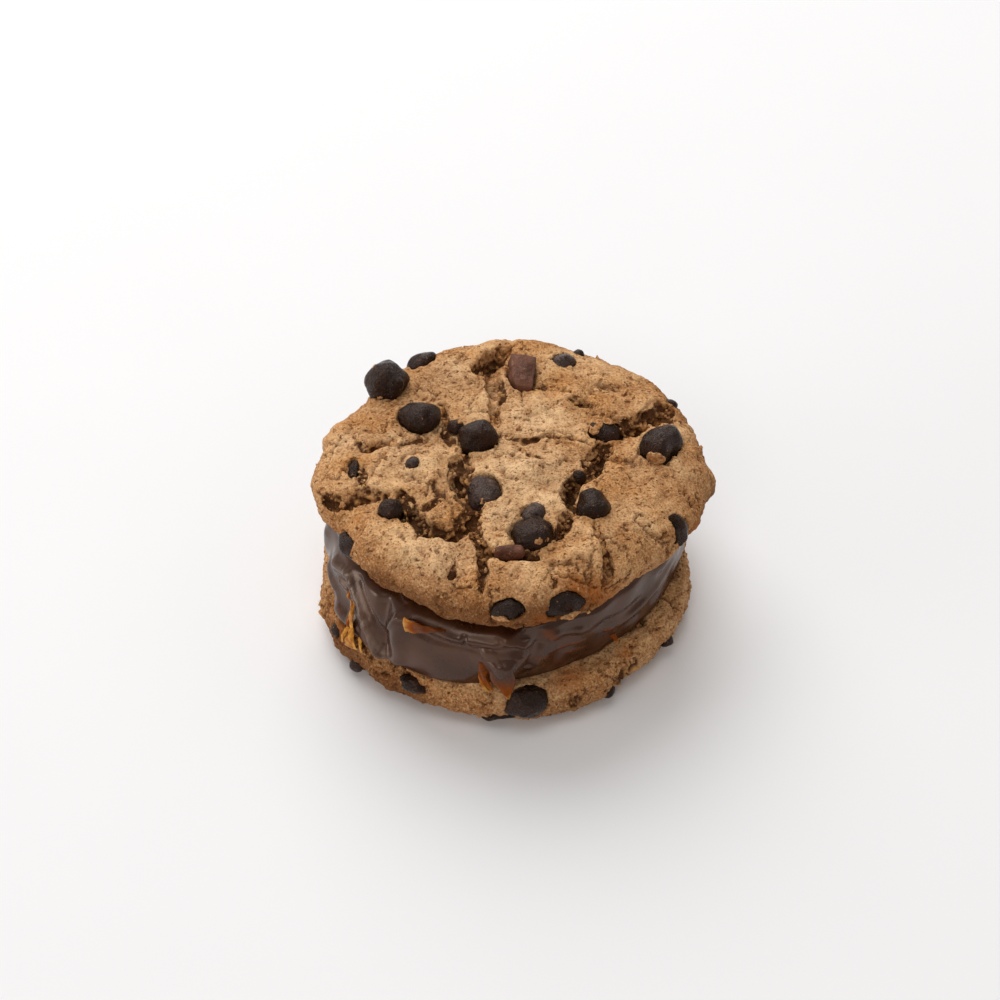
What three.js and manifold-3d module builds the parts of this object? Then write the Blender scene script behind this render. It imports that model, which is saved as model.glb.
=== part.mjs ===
// An alfajor made of two chocolate chip biscuits pressed round a thick layer of dulce de leche.
//
// Millimetres, +Z up. The origin is the middle of the flat spot that the alfajor stands on. The lower
// biscuit is turned over, so the flat sides of both biscuits face the filling. The upper biscuit leans
// a little to +X and to -Y, because the filling is thicker at the back left. Each chip is a solid of its
// own, in a pocket that its biscuit has for it.
import * as THREE from "three";
import { ImprovedNoise } from "three/addons/math/ImprovedNoise.js";
import { mergeVertices } from "three/addons/utils/BufferGeometryUtils.js";
import Module from "manifold-3d";

const wasm = await Module();
wasm.setup();

// ---------------------------------------------------------------- driving dimensions

const GAP = 0.3; // between the filling and each biscuit
const SMOOTHED = 0.18; // smallest detail that a cut solid keeps
const LOWER_THICKNESS = 10.5; // flat side of the lower biscuit above the table
const FILLING_THICKNESS = 16.5; // between the two flat sides, on the axis
const LEAN_RIGHT = THREE.MathUtils.degToRad(2.0); // of the upper biscuit, +X side down
const LEAN_FRONT = THREE.MathUtils.degToRad(1.0); // of the upper biscuit, -Y side down

// A biscuit stands in its own frame with its flat side on z = 0 and its cracked face up. A rim is the
// radius at equal steps of azimuth, anticlockwise from +X seen from above the face.
const UPPER = {
  rim: [39.8, 40.3, 40.0, 39.0, 38.8, 38.0, 35.5, 36.2, 38.7, 38.2, 37.1, 36.5, 37.8, 36.7, 35.9, 38.2],
  crags: [
    { azimuth: 1, reach: 1.9, spread: 3.5 },
    { azimuth: 78, reach: 1.0, spread: 6 },
    { azimuth: 164, reach: 0.9, spread: 4 },
    { azimuth: 205, reach: -2.6, spread: 5 },
    { azimuth: 278, reach: 0.8, spread: 6 },
  ],
  thickness: 10.1, // at the foot of the crown
  crown: 1.4, // rise of the face's middle
  relief: 1.1, // of the crust over the whole face
  belt: 4.5, // height of the widest level
  foot: 4.4, // how far the rim draws in below the belt
  shoulder: 7.5, // how far the rim draws in above the belt
  rings: 12,
  lumps: [
    { at: [4, -5], radius: 10, rise: 0.7 },
    { at: [1, -20], radius: 7.5, rise: 1.0 },
    { at: [-19, -4], radius: 8, rise: 0.6 },
    { at: [10, 20], radius: 12, rise: 0.5 },
    { at: [25, -10], radius: 10, rise: 0.7 },
    { at: [-20, -25], radius: 9, rise: 0.5 },
    { at: [27, 17], radius: 6, rise: 0.9 },
    { at: [-14, 19], radius: 11, rise: -1.0 },
    { at: [-11, -15], radius: 6, rise: -1.1 },
    { at: [-2, 12], radius: 6, rise: -0.8 },
    { at: [-33, -12], radius: 5, rise: -1.6 },
  ],
};

const LOWER = {
  rim: [37.2, 37.8, 36.9, 39.0, 39.0, 38.6, 39.3, 38.9, 38.0, 37.8, 38.0, 37.3, 37.8, 37.6, 38.1, 37.5],
  crags: [
    { azimuth: 12, reach: 0.8, spread: 5 },
    { azimuth: 150, reach: 0.8, spread: 6 },
    { azimuth: 250, reach: -1.2, spread: 7 },
    { azimuth: 310, reach: 1.0, spread: 5 },
  ],
  thickness: LOWER_THICKNESS,
  crown: 0, // the face has sat flat on the table
  relief: 1.3,
  flatSpot: 11, // radius of the part of the face that is pressed quite flat
  belt: 4.4,
  foot: 2.4,
  shoulder: 6.5,
  rings: 8,
  lumps: [],
};

// Cracks in a face. A path runs over the face; width and depth are in its middle, and it thins to its ends.
const UPPER_CRACKS = [
  { path: [[-36, -9], [-32, -11.5], [-27, -10.5], [-22.5, -11]], width: 3.2, depth: 3.2 },
  { path: [[-19.5, -14], [-17, -18.5], [-12.5, -20.5], [-8.5, -18.5], [-6.5, -14.5]], width: 4.0, depth: 3.0 },
  { path: [[-5.5, -24], [-4.5, -28], [-5, -32], [-5.5, -35]], width: 1.5, depth: 2.8 },
  { path: [[-6, -17], [-6.5, -21], [-4.5, -25.2], [0, -27.3], [6, -27]], width: 2.4, depth: 3.2 },
  { path: [[-30.5, 5.7], [-28.2, 1.2], [-24.5, 3.2], [-20.5, 5]], width: 1.6, depth: 2.2 },
  { path: [[-28.8, -5], [-27.8, -8.5]], width: 1.2, depth: 2.0 },
  { path: [[-5, 1.2], [-1.5, 3], [2, 4], [5.5, 4.7], [9.5, 4.6], [13, 3], [16.5, 1]], width: 1.2, depth: 2.6 },
  { path: [[2.5, 2], [4.5, -0.3], [7, -1.8]], width: 0.9, depth: 1.2 },
  { path: [[19.5, 3.5], [17.5, 0.5], [16.8, -3.5], [13.5, -6], [12, -9.5], [11.8, -13]], width: 3.0, depth: 4.2 },
  { path: [[11.8, -16], [11, -19], [9.8, -21.5]], width: 2.6, depth: 3.4 },
  { path: [[23.5, 9.2], [27, 10.5], [31.5, 14]], width: 3.6, depth: 4.2 },
  { path: [[17, -17.5], [17.8, -21.5], [19, -25], [19.2, -28.5], [18.8, -31.5]], width: 1.6, depth: 2.8 },
  { path: [[13, 16.2], [15, 15.6], [17.5, 15.2]], width: 1.2, depth: 1.6 },
  { path: [[10.5, 19.8], [12.5, 18.5]], width: 0.9, depth: 1.2 },
  { path: [[4.8, 19.4], [7, 20.3]], width: 0.9, depth: 1.2 },
  { path: [[-3.6, 27.5], [-2.8, 22.5], [-3.5, 17.5], [-2.6, 12.5], [-1.6, 8]], width: 3.0, depth: 2.4 },
  { path: [[-3.6, 31.4], [-2.2, 27]], width: 4.0, depth: 4.6 },
  { path: [[-10.5, -3.5], [-9.8, -7.5], [-8.6, -11]], width: 3.6, depth: 3.4 },
  { path: [[-8.2, 0.2], [-7.5, -4]], width: 1.6, depth: 2.2 },
  { path: [[-13, 15.5], [-12.4, 11.5], [-13.5, 8]], width: 1.8, depth: 2.0 },
  { path: [[-10, -28], [-9.5, -30.5]], width: 0.9, depth: 1.2 },
  { path: [[8, -30.5], [8.7, -32.5]], width: 0.9, depth: 1.2 },
];

const LOWER_CRACKS = [
  { path: [[-30, 6], [-24, 9], [-17, 8], [-11, 12], [-4, 10]], width: 1.8, depth: 2.0 },
  { path: [[6, 30], [9, 24], [7, 18], [11, 12], [18, 9]], width: 2.2, depth: 2.4 },
  { path: [[30, -8], [24, -11], [19, -9], [13, -13]], width: 1.8, depth: 2.0 },
  { path: [[-20, -27], [-16, -21], [-18, -15], [-13, -10]], width: 2.0, depth: 2.2 },
  { path: [[2, -32], [4, -26], [1, -20]], width: 1.6, depth: 1.8 },
  { path: [[-12, 26], [-14, 20], [-11, 16]], width: 1.4, depth: 1.6 },
];

// Chips that lie on a face: place on the face, size across, along and up, and how far the middle stands
// over the dough. A block is a broken piece of a bar, wider at its far end where it has a taper. The
// others are round.
const UPPER_FACE_CHIPS = [
  { name: "back_left_ball", at: [-24.5, 20.2], size: [8.5, 8.5, 8.4], lift: 2.2 },
  { name: "left_angular", at: [-17.8, 10.6], size: [7.4, 8.2, 6.6], lift: 0.6, turn: 40 },
  { name: "back_left_low", at: [-17.6, 30.6], size: [6.6, 4.0, 4.4], lift: 0.0, turn: 20 },
  { name: "milk_block", at: [2.6, 23.6], size: [5.6, 9.8, 5.0], lift: 0.3, pitch: 12, taper: 0.2, block: true },
  { name: "back_small", at: [11.0, 28.8], size: [4.8, 4.2, 3.8], lift: -0.8 },
  { name: "middle_angular", at: [-6.2, 4.1], size: [7.6, 7.2, 6.6], lift: 0.3, turn: -25 },
  { name: "middle_dark", at: [-10.5, 7.8], size: [3.4, 3.8, 3.4], lift: -0.4 },
  { name: "right_inner", at: [18.9, 8.2], size: [6.2, 5.4, 5.2], lift: -0.7 },
  { name: "right_outer", at: [30.0, 4.2], size: [8.2, 8.2, 7.0], lift: 0.2 },
  { name: "centre_dusty", at: [-4.9, -9.2], size: [7.0, 7.8, 6.4], lift: -0.4 },
  { name: "left_speck", at: [-18.9, -3.0], size: [2.8, 3.4, 2.6], lift: -0.1, turn: 30 },
  { name: "left_pit", at: [-30.6, -3.4], size: [2.2, 5.2, 3.0], lift: -0.4, turn: 5 },
  { name: "left_round", at: [-23.0, -14.6], size: [4.6, 4.8, 4.7], lift: -0.3 },
  { name: "right_round", at: [15.9, -13.0], size: [6.3, 6.8, 6.0], lift: 0.4 },
  { name: "front_large", at: [4.4, -21.0], size: [8.2, 7.2, 6.6], lift: -0.3 },
  { name: "front_lobe", at: [4.9, -15.2], size: [4.6, 3.8, 3.8], lift: -0.5 },
  { name: "milk_slab", at: [-0.1, -25.7], size: [6.4, 2.0, 3.4], lift: -0.8, turn: 3, block: true },
  { name: "crack_speck", at: [13.7, -5.2], size: [3.0, 2.6, 3.2], lift: -0.9 },
];

// Chips in a rim: azimuth and height in the biscuit's frame, size round, up and outwards, and how far the
// middle lies inside the rim.
const UPPER_RIM_CHIPS = [
  { name: "rim_right", azimuth: 336, height: 6.5, size: [3.1, 7.8, 4.2], inset: 1.1 },
  { name: "rim_left", azimuth: 211, height: 4.0, size: [7.4, 3.8, 3.8], inset: 0.9 },
  { name: "rim_front", azimuth: 269.5, height: 6.0, size: [7.2, 4.0, 3.8], inset: 1.4 },
  { name: "rim_front_right", azimuth: 286.4, height: 5.5, size: [9.8, 5.2, 4.2], inset: 1.5 },
  { name: "rim_back_right", azimuth: 30, height: 8.0, size: [2.8, 2.8, 2.6], inset: 0.9 },
  { name: "rim_back", azimuth: 66.5, height: 8.6, size: [2.8, 2.2, 2.4], inset: 0.8 },
  { name: "rim_back_left", azimuth: 104, height: 4.4, size: [6.4, 4.6, 4.6], inset: 1.2 },
  { name: "rim_far_left", azimuth: 126, height: 4.0, size: [5.6, 4.2, 4.2], inset: 1.2 },
];

const LOWER_FACE_CHIPS = [
  { name: "under_a", at: [-20, 16], size: [8.0, 7.6, 6.0], lift: -1.7 },
  { name: "under_b", at: [14, 25], size: [7.4, 7.4, 5.6], lift: -1.7 },
  { name: "under_c", at: [26, 2], size: [7.0, 8.0, 5.8], lift: -1.8 },
  { name: "under_d", at: [10, -21], size: [7.8, 7.2, 6.0], lift: -1.8 },
  { name: "under_e", at: [-24, -8], size: [7.2, 7.6, 5.6], lift: -1.7 },
  { name: "under_f", at: [-7, 22], size: [5.4, 5.8, 5.0], lift: -1.6 },
  { name: "under_g", at: [14, 5], size: [6.4, 6.0, 5.2], lift: -1.6 },
];

const LOWER_RIM_CHIPS = [
  { name: "base_front", azimuth: 84.4, height: 3.5, size: [7.8, 6.8, 5.8], inset: 1.3 },
  { name: "base_front_low", azimuth: 92.6, height: 7.2, size: [7.2, 2.4, 3.2], inset: 1.4 },
  { name: "base_front_left", azimuth: 119.4, height: 3.0, size: [6.2, 2.1, 3.2], inset: 0.9 },
  { name: "base_left", azimuth: 151, height: 2.4, size: [4.0, 2.6, 2.8], inset: 1.0 },
  { name: "base_left_low", azimuth: 141.5, height: 7.2, size: [2.8, 2.4, 2.6], inset: 0.6 },
  { name: "base_right", azimuth: 29.5, height: 6.0, size: [3.4, 2.6, 3.0], inset: 0.8 },
  { name: "base_front_right", azimuth: 57.5, height: 7.2, size: [3.4, 2.8, 3.0], inset: 0.5 },
  { name: "base_back_left", azimuth: 222, height: 5.0, size: [6.6, 6.0, 5.2], inset: 1.4 },
  { name: "base_back", azimuth: 275, height: 5.2, size: [7.2, 5.6, 5.2], inset: 1.6 },
  { name: "base_back_right", azimuth: 325, height: 4.6, size: [6.0, 5.0, 4.6], inset: 1.4 },
];

// The filling. Foot, belly and lip are its radius at the lower biscuit, halfway up and at the upper one,
// at equal steps of azimuth from +X.
const FILLING = {
  foot: [34.8, 34.8, 34.5, 34.4, 34.2, 34.6, 34.8, 35.2, 35.4, 35.8, 36.4, 37.2, 34.8, 32.6, 32.2, 33.0],
  belly: [35.6, 35.6, 35.6, 35.4, 35.2, 35.6, 35.8, 35.8, 36.0, 36.4, 37.6, 37.8, 37.2, 34.6, 33.6, 34.4],
  lip: [35.0, 35.2, 35.0, 34.8, 34.4, 34.2, 33.6, 33.8, 35.0, 34.6, 35.2, 36.0, 36.2, 34.6, 33.4, 34.0],
  sectors: 66,
  rows: 8,
  ripple: 0.5, // of the whole side
};

// Soft folds that run round the filling: azimuth and share of its height at the middle, reach, and how far
// they spread round and up.
const FOLDS = [
  { azimuth: 254, level: 0.84, reach: 1.1, round: 16, up: 0.1 },
  { azimuth: 228, level: 0.55, reach: 1.2, round: 3.5, up: 0.4 },
  { azimuth: 216, level: 0.45, reach: -1.3, round: 4, up: 0.35 },
  { azimuth: 204, level: 0.6, reach: 0.8, round: 4, up: 0.3 },
  { azimuth: 276, level: 0.5, reach: 0.9, round: 4, up: 0.3 },
  { azimuth: 288, level: 0.75, reach: -0.8, round: 4, up: 0.2 },
  { azimuth: 325, level: 0.35, reach: -0.8, round: 14, up: 0.12 },
  { azimuth: 60, level: 0.6, reach: 1.0, round: 12, up: 0.2 },
  { azimuth: 120, level: 0.4, reach: -0.9, round: 9, up: 0.25 },
];

// Peaks that a knife drew out of the filling: root, bend and tip, with the width and thickness at the root.
const PEAKS = [
  { root: [-16.6, -32.2, 25.0], bend: [-18.6, -33.9, 24.8], tip: [-20.4, -33.4, 22.6], width: 5.4, thick: 2.6 },
  { root: [-1.4, -34.8, 20.4], bend: [-1.2, -39.0, 17.0], tip: [0.3, -39.9, 11.3], width: 6.2, thick: 3.2 },
  { root: [-2.8, -34.8, 18.2], bend: [-3.2, -38.7, 15.8], tip: [-3.8, -39.2, 12.8], width: 3.8, thick: 2.4 },
  { root: [-28.6, -20.0, 15.4], bend: [-31.8, -21.8, 13.2], tip: [-32.6, -22.6, 11.0], width: 3.6, thick: 2.4 },
  { root: [20.0, -24.0, 13.8], bend: [21.6, -26.2, 13.2], tip: [22.0, -26.9, 12.0], width: 2.8, thick: 2.0 },
];

const SPECK = 4.6; // a chip smaller than this is a plain broken bit
const FACETS = 4; // on each round chip
const POCKET = 0.4; // room that the dough leaves round a chip
const PRESSED_IN = 0.05; // how far a chip in the pressed face lies under it

const BISCUIT_COLOUR = 0xb98f5f;
const CHIP_COLOUR = 0x35272a;
const MILK_CHIP_COLOUR = 0x6b4238;
const FILLING_COLOUR = 0x4a332c;

// ---------------------------------------------------------------- helpers

const noise = new ImprovedNoise();
const radians = THREE.MathUtils.degToRad;

// A seeded draw from 0 to 1.
function seeded(seed) {
  THREE.MathUtils.seededRandom(seed);
  return () => THREE.MathUtils.seededRandom();
}

// Reads a closed list of values at an azimuth, with a smooth curve through them.
function around(values, azimuth) {
  const n = values.length;
  const place = (((azimuth / (2 * Math.PI)) % 1) + 1) % 1 * n;
  const i = Math.floor(place);
  const [a, b, c, d] = [-1, 0, 1, 2].map((k) => values[(i + k + n) % n]);
  const t = place - i;
  return b + 0.5 * t * (c - a + t * (2 * a - 5 * b + 4 * c - d + t * (3 * (b - c) + d - a)));
}

// A hump that is 1 at distance 0 and falls away over the spread.
function hump(distance, spread) {
  return Math.exp(-((distance / spread) ** 2));
}

// The signed angle from one azimuth to another, in degrees from -180 to 180.
function degreesBetween(from, to) {
  return ((((to - from) % 360) + 540) % 360) - 180;
}

function geometryOf(points, triangles) {
  const geometry = new THREE.BufferGeometry();
  geometry.setAttribute("position", new THREE.Float32BufferAttribute(points.flat(), 3));
  geometry.setIndex(triangles);
  return geometry;
}

function solidOf(geometry) {
  const bare = geometry.clone();
  bare.deleteAttribute("normal");
  bare.deleteAttribute("uv");
  const merged = mergeVertices(bare, 1e-4);
  return new wasm.Manifold(
    new wasm.Mesh({
      numProp: 3,
      vertProperties: merged.attributes.position.array,
      triVerts: new Uint32Array(merged.index.array),
    }),
  );
}

// A solid from a closed skin whose triangles may all face in or all face out.
function facingOut(points, triangles) {
  const solid = solidOf(geometryOf(points, triangles));
  return solid.volume() > 0 ? solid : solidOf(geometryOf(points, triangles.toReversed()));
}

// The solid's largest body as a three.js geometry, so that a crumb that a cut sets free is dropped.
function geometryOfSolid(solid) {
  const bodies = solid.decompose().sort((a, b) => b.volume() - a.volume());
  const { vertProperties, triVerts } = bodies[0].getMesh();
  const geometry = new THREE.BufferGeometry();
  geometry.setAttribute("position", new THREE.BufferAttribute(new Float32Array(vertProperties), 3));
  geometry.setIndex(new THREE.BufferAttribute(new Uint32Array(triVerts), 1));
  return geometry;
}

// Triangles between two closed rings of points, which may differ in number. A ring is { start, count },
// and its points run anticlockwise from azimuth 0. The faces look away from the axis or up.
function stitch(inner, outer, triangles) {
  let i = 0;
  let o = 0;
  while (i < inner.count || o < outer.count) {
    const a = inner.start + (i % inner.count);
    const b = outer.start + (o % outer.count);
    if (o < outer.count && (o + 1) * inner.count <= (i + 1) * outer.count) {
      triangles.push(a, b, outer.start + ((o + 1) % outer.count));
      o += 1;
    } else {
      triangles.push(a, b, inner.start + ((i + 1) % inner.count));
      i += 1;
    }
  }
}

// ---------------------------------------------------------------- biscuit

function rimRadius(biscuit, azimuth) {
  const degrees = THREE.MathUtils.radToDeg(azimuth);
  const crags = biscuit.crags.reduce(
    (sum, crag) => sum + crag.reach * hump(degreesBetween(crag.azimuth, degrees), crag.spread),
    0,
  );
  return around(biscuit.rim, azimuth) + crags;
}

// Height of the cracked face over the flat side, from the middle out to the belt.
function faceHeight(biscuit, x, y) {
  const radius = Math.hypot(x, y);
  const rim = rimRadius(biscuit, Math.atan2(y, x));
  const out = THREE.MathUtils.clamp((radius - (rim - biscuit.shoulder)) / biscuit.shoulder, 0, 1);
  const lumps = biscuit.lumps.reduce(
    (sum, lump) => sum + lump.rise * hump(Math.hypot(x - lump.at[0], y - lump.at[1]), lump.radius * 0.7),
    0,
  );
  const wave = noise.noise(x / 6, y / 6, 3.3) + 0.4 * noise.noise(x / 2.7, y / 2.7, 7.7);
  const pressed = THREE.MathUtils.smoothstep(radius, biscuit.flatSpot ?? 0, (biscuit.flatSpot ?? 0) + 4);
  const crust = biscuit.relief * (biscuit.flatSpot ? Math.min(0, wave) * pressed : wave);
  const face = biscuit.thickness + biscuit.crown * (1 - (radius / rim) ** 2) + lumps + crust;
  return biscuit.belt + (face - biscuit.belt) * Math.sqrt(1 - out * out);
}

// The uncut dough: rings of points over the face, round the rim and in to the flat side.
function doughSolid(biscuit) {
  const points = [[0, 0, faceHeight(biscuit, 0, 0)]];
  const triangles = [];
  const ringAt = (count, place) => {
    const ring = { start: points.length, count };
    for (let i = 0; i < count; i += 1) {
      const azimuth = (2 * Math.PI * i) / count;
      const [radius, height] = place(azimuth, rimRadius(biscuit, azimuth));
      points.push([radius * Math.cos(azimuth), radius * Math.sin(azimuth), height]);
    }
    return ring;
  };
  const rings = [];
  for (let k = 1; k <= biscuit.rings; k += 1) {
    rings.push(
      ringAt(6 * k, (azimuth, rim) => {
        const radius = ((rim - biscuit.shoulder) * k) / biscuit.rings;
        return [radius, faceHeight(biscuit, radius * Math.cos(azimuth), radius * Math.sin(azimuth))];
      }),
    );
  }
  const count = 6 * biscuit.rings;
  for (const turn of [28, 50, 70, 90].map(radians)) {
    rings.push(
      ringAt(count, (azimuth, rim) => {
        const radius = rim - biscuit.shoulder * (1 - Math.sin(turn));
        const height = faceHeight(biscuit, radius * Math.cos(azimuth), radius * Math.sin(azimuth));
        const rough = 0.9 * noise.noise(5 * Math.cos(azimuth), 5 * Math.sin(azimuth), height / 4) * Math.sin(turn);
        return [radius + rough, height];
      }),
    );
  }
  for (const turn of [35, 65, 90].map(radians)) {
    rings.push(
      ringAt(count, (azimuth, rim) => {
        const height = biscuit.belt * (1 - Math.sin(turn));
        const rough = 0.9 * noise.noise(5 * Math.cos(azimuth), 5 * Math.sin(azimuth), height / 4);
        return [rim - biscuit.foot * (1 - Math.cos(turn)) + rough, height];
      }),
    );
  }
  stitchCentre(0, rings[0], triangles, false);
  for (let k = 1; k < rings.length; k += 1) {
    stitch(rings[k - 1], rings[k], triangles);
  }
  points.push([0, 0, 0]);
  stitchCentre(points.length - 1, rings[rings.length - 1], triangles, true);
  return solidOf(geometryOf(points, triangles));
}

// A fan from a middle point to a ring, facing up, or down where it closes the underside.
function stitchCentre(middle, ring, triangles, down) {
  for (let i = 0; i < ring.count; i += 1) {
    const a = ring.start + i;
    const b = ring.start + ((i + 1) % ring.count);
    triangles.push(middle, ...(down ? [b, a] : [a, b]));
  }
}

// The cutter that opens one crack: ragged walls along the path that draw in to a narrow floor.
function crackSolid(biscuit, crack, seed) {
  const random = seeded(seed);
  const over = 2.5;
  const path = crack.path.map(([x, y]) => new THREE.Vector3(x, y, 0));
  const curve = new THREE.CatmullRomCurve3(path);
  const steps = Math.max(2, Math.round(curve.getLength() / 3));
  const points = [];
  for (let i = 0; i <= steps; i += 1) {
    const share = i / steps;
    const middle = curve.getPoint(share);
    const along = curve.getTangent(share);
    const fullness = 0.35 + 0.65 * Math.sin(Math.PI * (0.1 + 0.8 * share));
    const depth = crack.depth * fullness * (0.8 + 0.4 * random());
    const surface = faceHeight(biscuit, middle.x, middle.y);
    const drift = 0.3 * crack.width * (random() - 0.5);
    const [right, left] = [1, -1].map((side) => side * 0.5 * crack.width * fullness * (0.7 + 0.6 * random()));
    const across = (offset) => [middle.x - along.y * offset, middle.y + along.x * offset];
    points.push(
      [...across(right * 1.3), surface + over],
      [...across(left * 1.3), surface + over],
      [...across(0.45 * left + drift), surface - depth],
      [...across(0.45 * right + drift), surface - depth],
    );
  }
  const triangles = [0, 1, 2, 0, 2, 3];
  for (let i = 0; i < steps; i += 1) {
    for (const [p, q] of [[0, 1], [1, 2], [2, 3], [3, 0]]) {
      const [a, b, c, d] = [4 * i + p, 4 * i + q, 4 * i + 4 + p, 4 * i + 4 + q];
      triangles.push(a, c, b, b, c, d);
    }
  }
  const last = 4 * steps;
  triangles.push(last, last + 2, last + 1, last, last + 3, last + 2);
  return facingOut(points, triangles);
}

// ---------------------------------------------------------------- chips

// A chip round the origin, as large as its size plus the extra on every side. Blocks have flat sides and
// soft corners. The others are dented balls with a few facets, where the chocolate was pressed or broken.
function chipGeometry(chip, seed, extra) {
  const detail = Math.max(...chip.size) < SPECK ? 0 : 1;
  const form = chip.block ? new THREE.BoxGeometry(2, 2, 2, 2, 2, 2) : new THREE.IcosahedronGeometry(1, detail);
  form.deleteAttribute("normal");
  form.deleteAttribute("uv");
  const geometry = mergeVertices(form, 1e-4);
  const position = geometry.attributes.position;
  const facets = chip.block ? [] : facetsOf(seed);
  const point = new THREE.Vector3();
  for (let i = 0; i < position.count; i += 1) {
    point.fromBufferAttribute(position, i);
    const ball = point.clone().normalize();
    if (chip.block) {
      point.multiplyScalar(0.88).lerp(ball, 0.25);
      point.x *= 1 + (chip.taper ?? 0) * point.y;
    } else {
      point.multiplyScalar(1.05 + 0.2 * noise.noise(1.3 * ball.x + seed, 1.3 * ball.y, 1.3 * ball.z));
    }
    for (const facet of facets) {
      point.addScaledVector(facet.normal, -Math.max(0, point.dot(facet.normal) - facet.distance));
    }
    position.setXYZ(
      i,
      point.x * chip.size[0] * 0.5 + ball.x * extra,
      point.y * chip.size[1] * 0.5 + ball.y * extra,
      point.z * chip.size[2] * 0.5 + ball.z * extra,
    );
  }
  return geometry;
}

function facetsOf(seed) {
  const random = seeded(500 + seed);
  return Array.from({ length: FACETS }, () => {
    const turn = 2 * Math.PI * random();
    const rise = 2 * random() - 1;
    const flat = Math.sqrt(1 - rise * rise);
    return {
      normal: new THREE.Vector3(flat * Math.cos(turn), flat * Math.sin(turn), rise),
      distance: 0.72 + 0.16 * random(),
    };
  });
}

// The same chip in its biscuit's frame. One that stands over a pressed face is cut flat there.
function placedChip(biscuit, chip, seed, extra) {
  const geometry = chipGeometry(chip, seed, extra).applyMatrix4(chipMatrix(chipPlace(biscuit, chip)));
  if (biscuit.flatSpot && extra === 0) {
    const position = geometry.attributes.position;
    for (let i = 0; i < position.count; i += 1) {
      position.setZ(i, Math.min(position.getZ(i), biscuit.thickness - PRESSED_IN));
    }
  }
  return geometry;
}

// Where a chip sits in its biscuit's frame, as a position and a turn.
function chipPlace(biscuit, chip) {
  if (chip.at) {
    const [x, y] = chip.at;
    const slopeX = (faceHeight(biscuit, x + 1, y) - faceHeight(biscuit, x - 1, y)) / 2;
    const slopeY = (faceHeight(biscuit, x, y + 1) - faceHeight(biscuit, x, y - 1)) / 2;
    return {
      position: new THREE.Vector3(x, y, faceHeight(biscuit, x, y) + chip.lift),
      rotation: new THREE.Euler(
        Math.atan(slopeY) + radians(chip.pitch ?? 0),
        -Math.atan(slopeX),
        radians(chip.turn ?? 0),
      ),
    };
  }
  const azimuth = radians(chip.azimuth);
  const belt = (chip.height - biscuit.belt) / (biscuit.thickness - biscuit.belt);
  const drawnIn = belt > 0 ? biscuit.shoulder * (1 - Math.sqrt(1 - Math.min(belt, 0.98) ** 2)) : 0;
  const radius = rimRadius(biscuit, azimuth) - drawnIn - chip.inset;
  const lean = belt > 0 ? Math.asin(Math.min(belt, 0.98)) * 0.6 : 0;
  return {
    position: new THREE.Vector3(radius * Math.cos(azimuth), radius * Math.sin(azimuth), chip.height),
    rotation: new THREE.Euler(Math.PI / 2 - lean, 0, azimuth + Math.PI / 2, "ZXY"),
  };
}

function chipMatrix({ position, rotation }) {
  return new THREE.Matrix4().makeRotationFromEuler(rotation).setPosition(position);
}

// ---------------------------------------------------------------- assembly of one biscuit

// A group in the biscuit's frame: the dough with its cracks and pockets, and a mesh for each chip.
function biscuitGroup(name, biscuit, cracks, chips) {
  const group = new THREE.Group();
  let dough = doughSolid(biscuit);
  cracks.forEach((crack, i) => {
    dough = dough.subtract(crackSolid(biscuit, crack, 100 + i));
  });
  chips.forEach((chip, i) => {
    dough = dough.subtract(solidOf(placedChip(biscuit, chip, i, POCKET)));
    const milk = chip.name.startsWith("milk");
    const mesh = new THREE.Mesh(placedChip(biscuit, chip, i, 0), milk ? milkChocolate : darkChocolate);
    mesh.name = `chip_${chip.name}`;
    group.add(mesh);
  });
  const mesh = new THREE.Mesh(geometryOfSolid(dough.simplify(SMOOTHED)), bakedDough);
  mesh.name = name;
  group.add(mesh);
  return group;
}

// ---------------------------------------------------------------- filling

// A peak: round sections along a bent line, from a wide root to a blunt tip.
function peakSolid(peak) {
  const curve = new THREE.QuadraticBezierCurve3(
    ...[peak.root, peak.bend, peak.tip].map((p) => new THREE.Vector3(...p)),
  );
  const sides = 7;
  const sections = 5;
  const points = [];
  for (let i = 0; i < sections; i += 1) {
    const share = i / sections;
    const middle = curve.getPoint(share);
    const along = curve.getTangent(share);
    const across = new THREE.Vector3(0, 0, 1).cross(along).normalize();
    const out = along.clone().cross(across).normalize();
    const thin = (1 - share) ** 0.75;
    for (let k = 0; k < sides; k += 1) {
      const turn = (2 * Math.PI * k) / sides;
      const point = middle
        .clone()
        .addScaledVector(across, 0.5 * peak.width * thin * Math.cos(turn))
        .addScaledVector(out, 0.5 * peak.thick * thin * Math.sin(turn));
      points.push(point.toArray());
    }
  }
  points.push(peak.root, peak.tip);
  const triangles = [];
  const ring = (i) => ({ start: i * sides, count: sides });
  for (let k = 0; k < sides; k += 1) {
    triangles.push(points.length - 2, (k + 1) % sides, k);
    triangles.push(points.length - 1, ring(sections - 1).start + k, ring(sections - 1).start + ((k + 1) % sides));
  }
  for (let i = 1; i < sections; i += 1) {
    stitch(ring(i), ring(i - 1), triangles);
  }
  return facingOut(points, triangles);
}

// Height of the upper biscuit's flat side over the table.
function undersideOfUpper(x, y) {
  return LOWER_THICKNESS + FILLING_THICKNESS - x * Math.tan(LEAN_RIGHT) + y * Math.tan(LEAN_FRONT);
}

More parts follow.
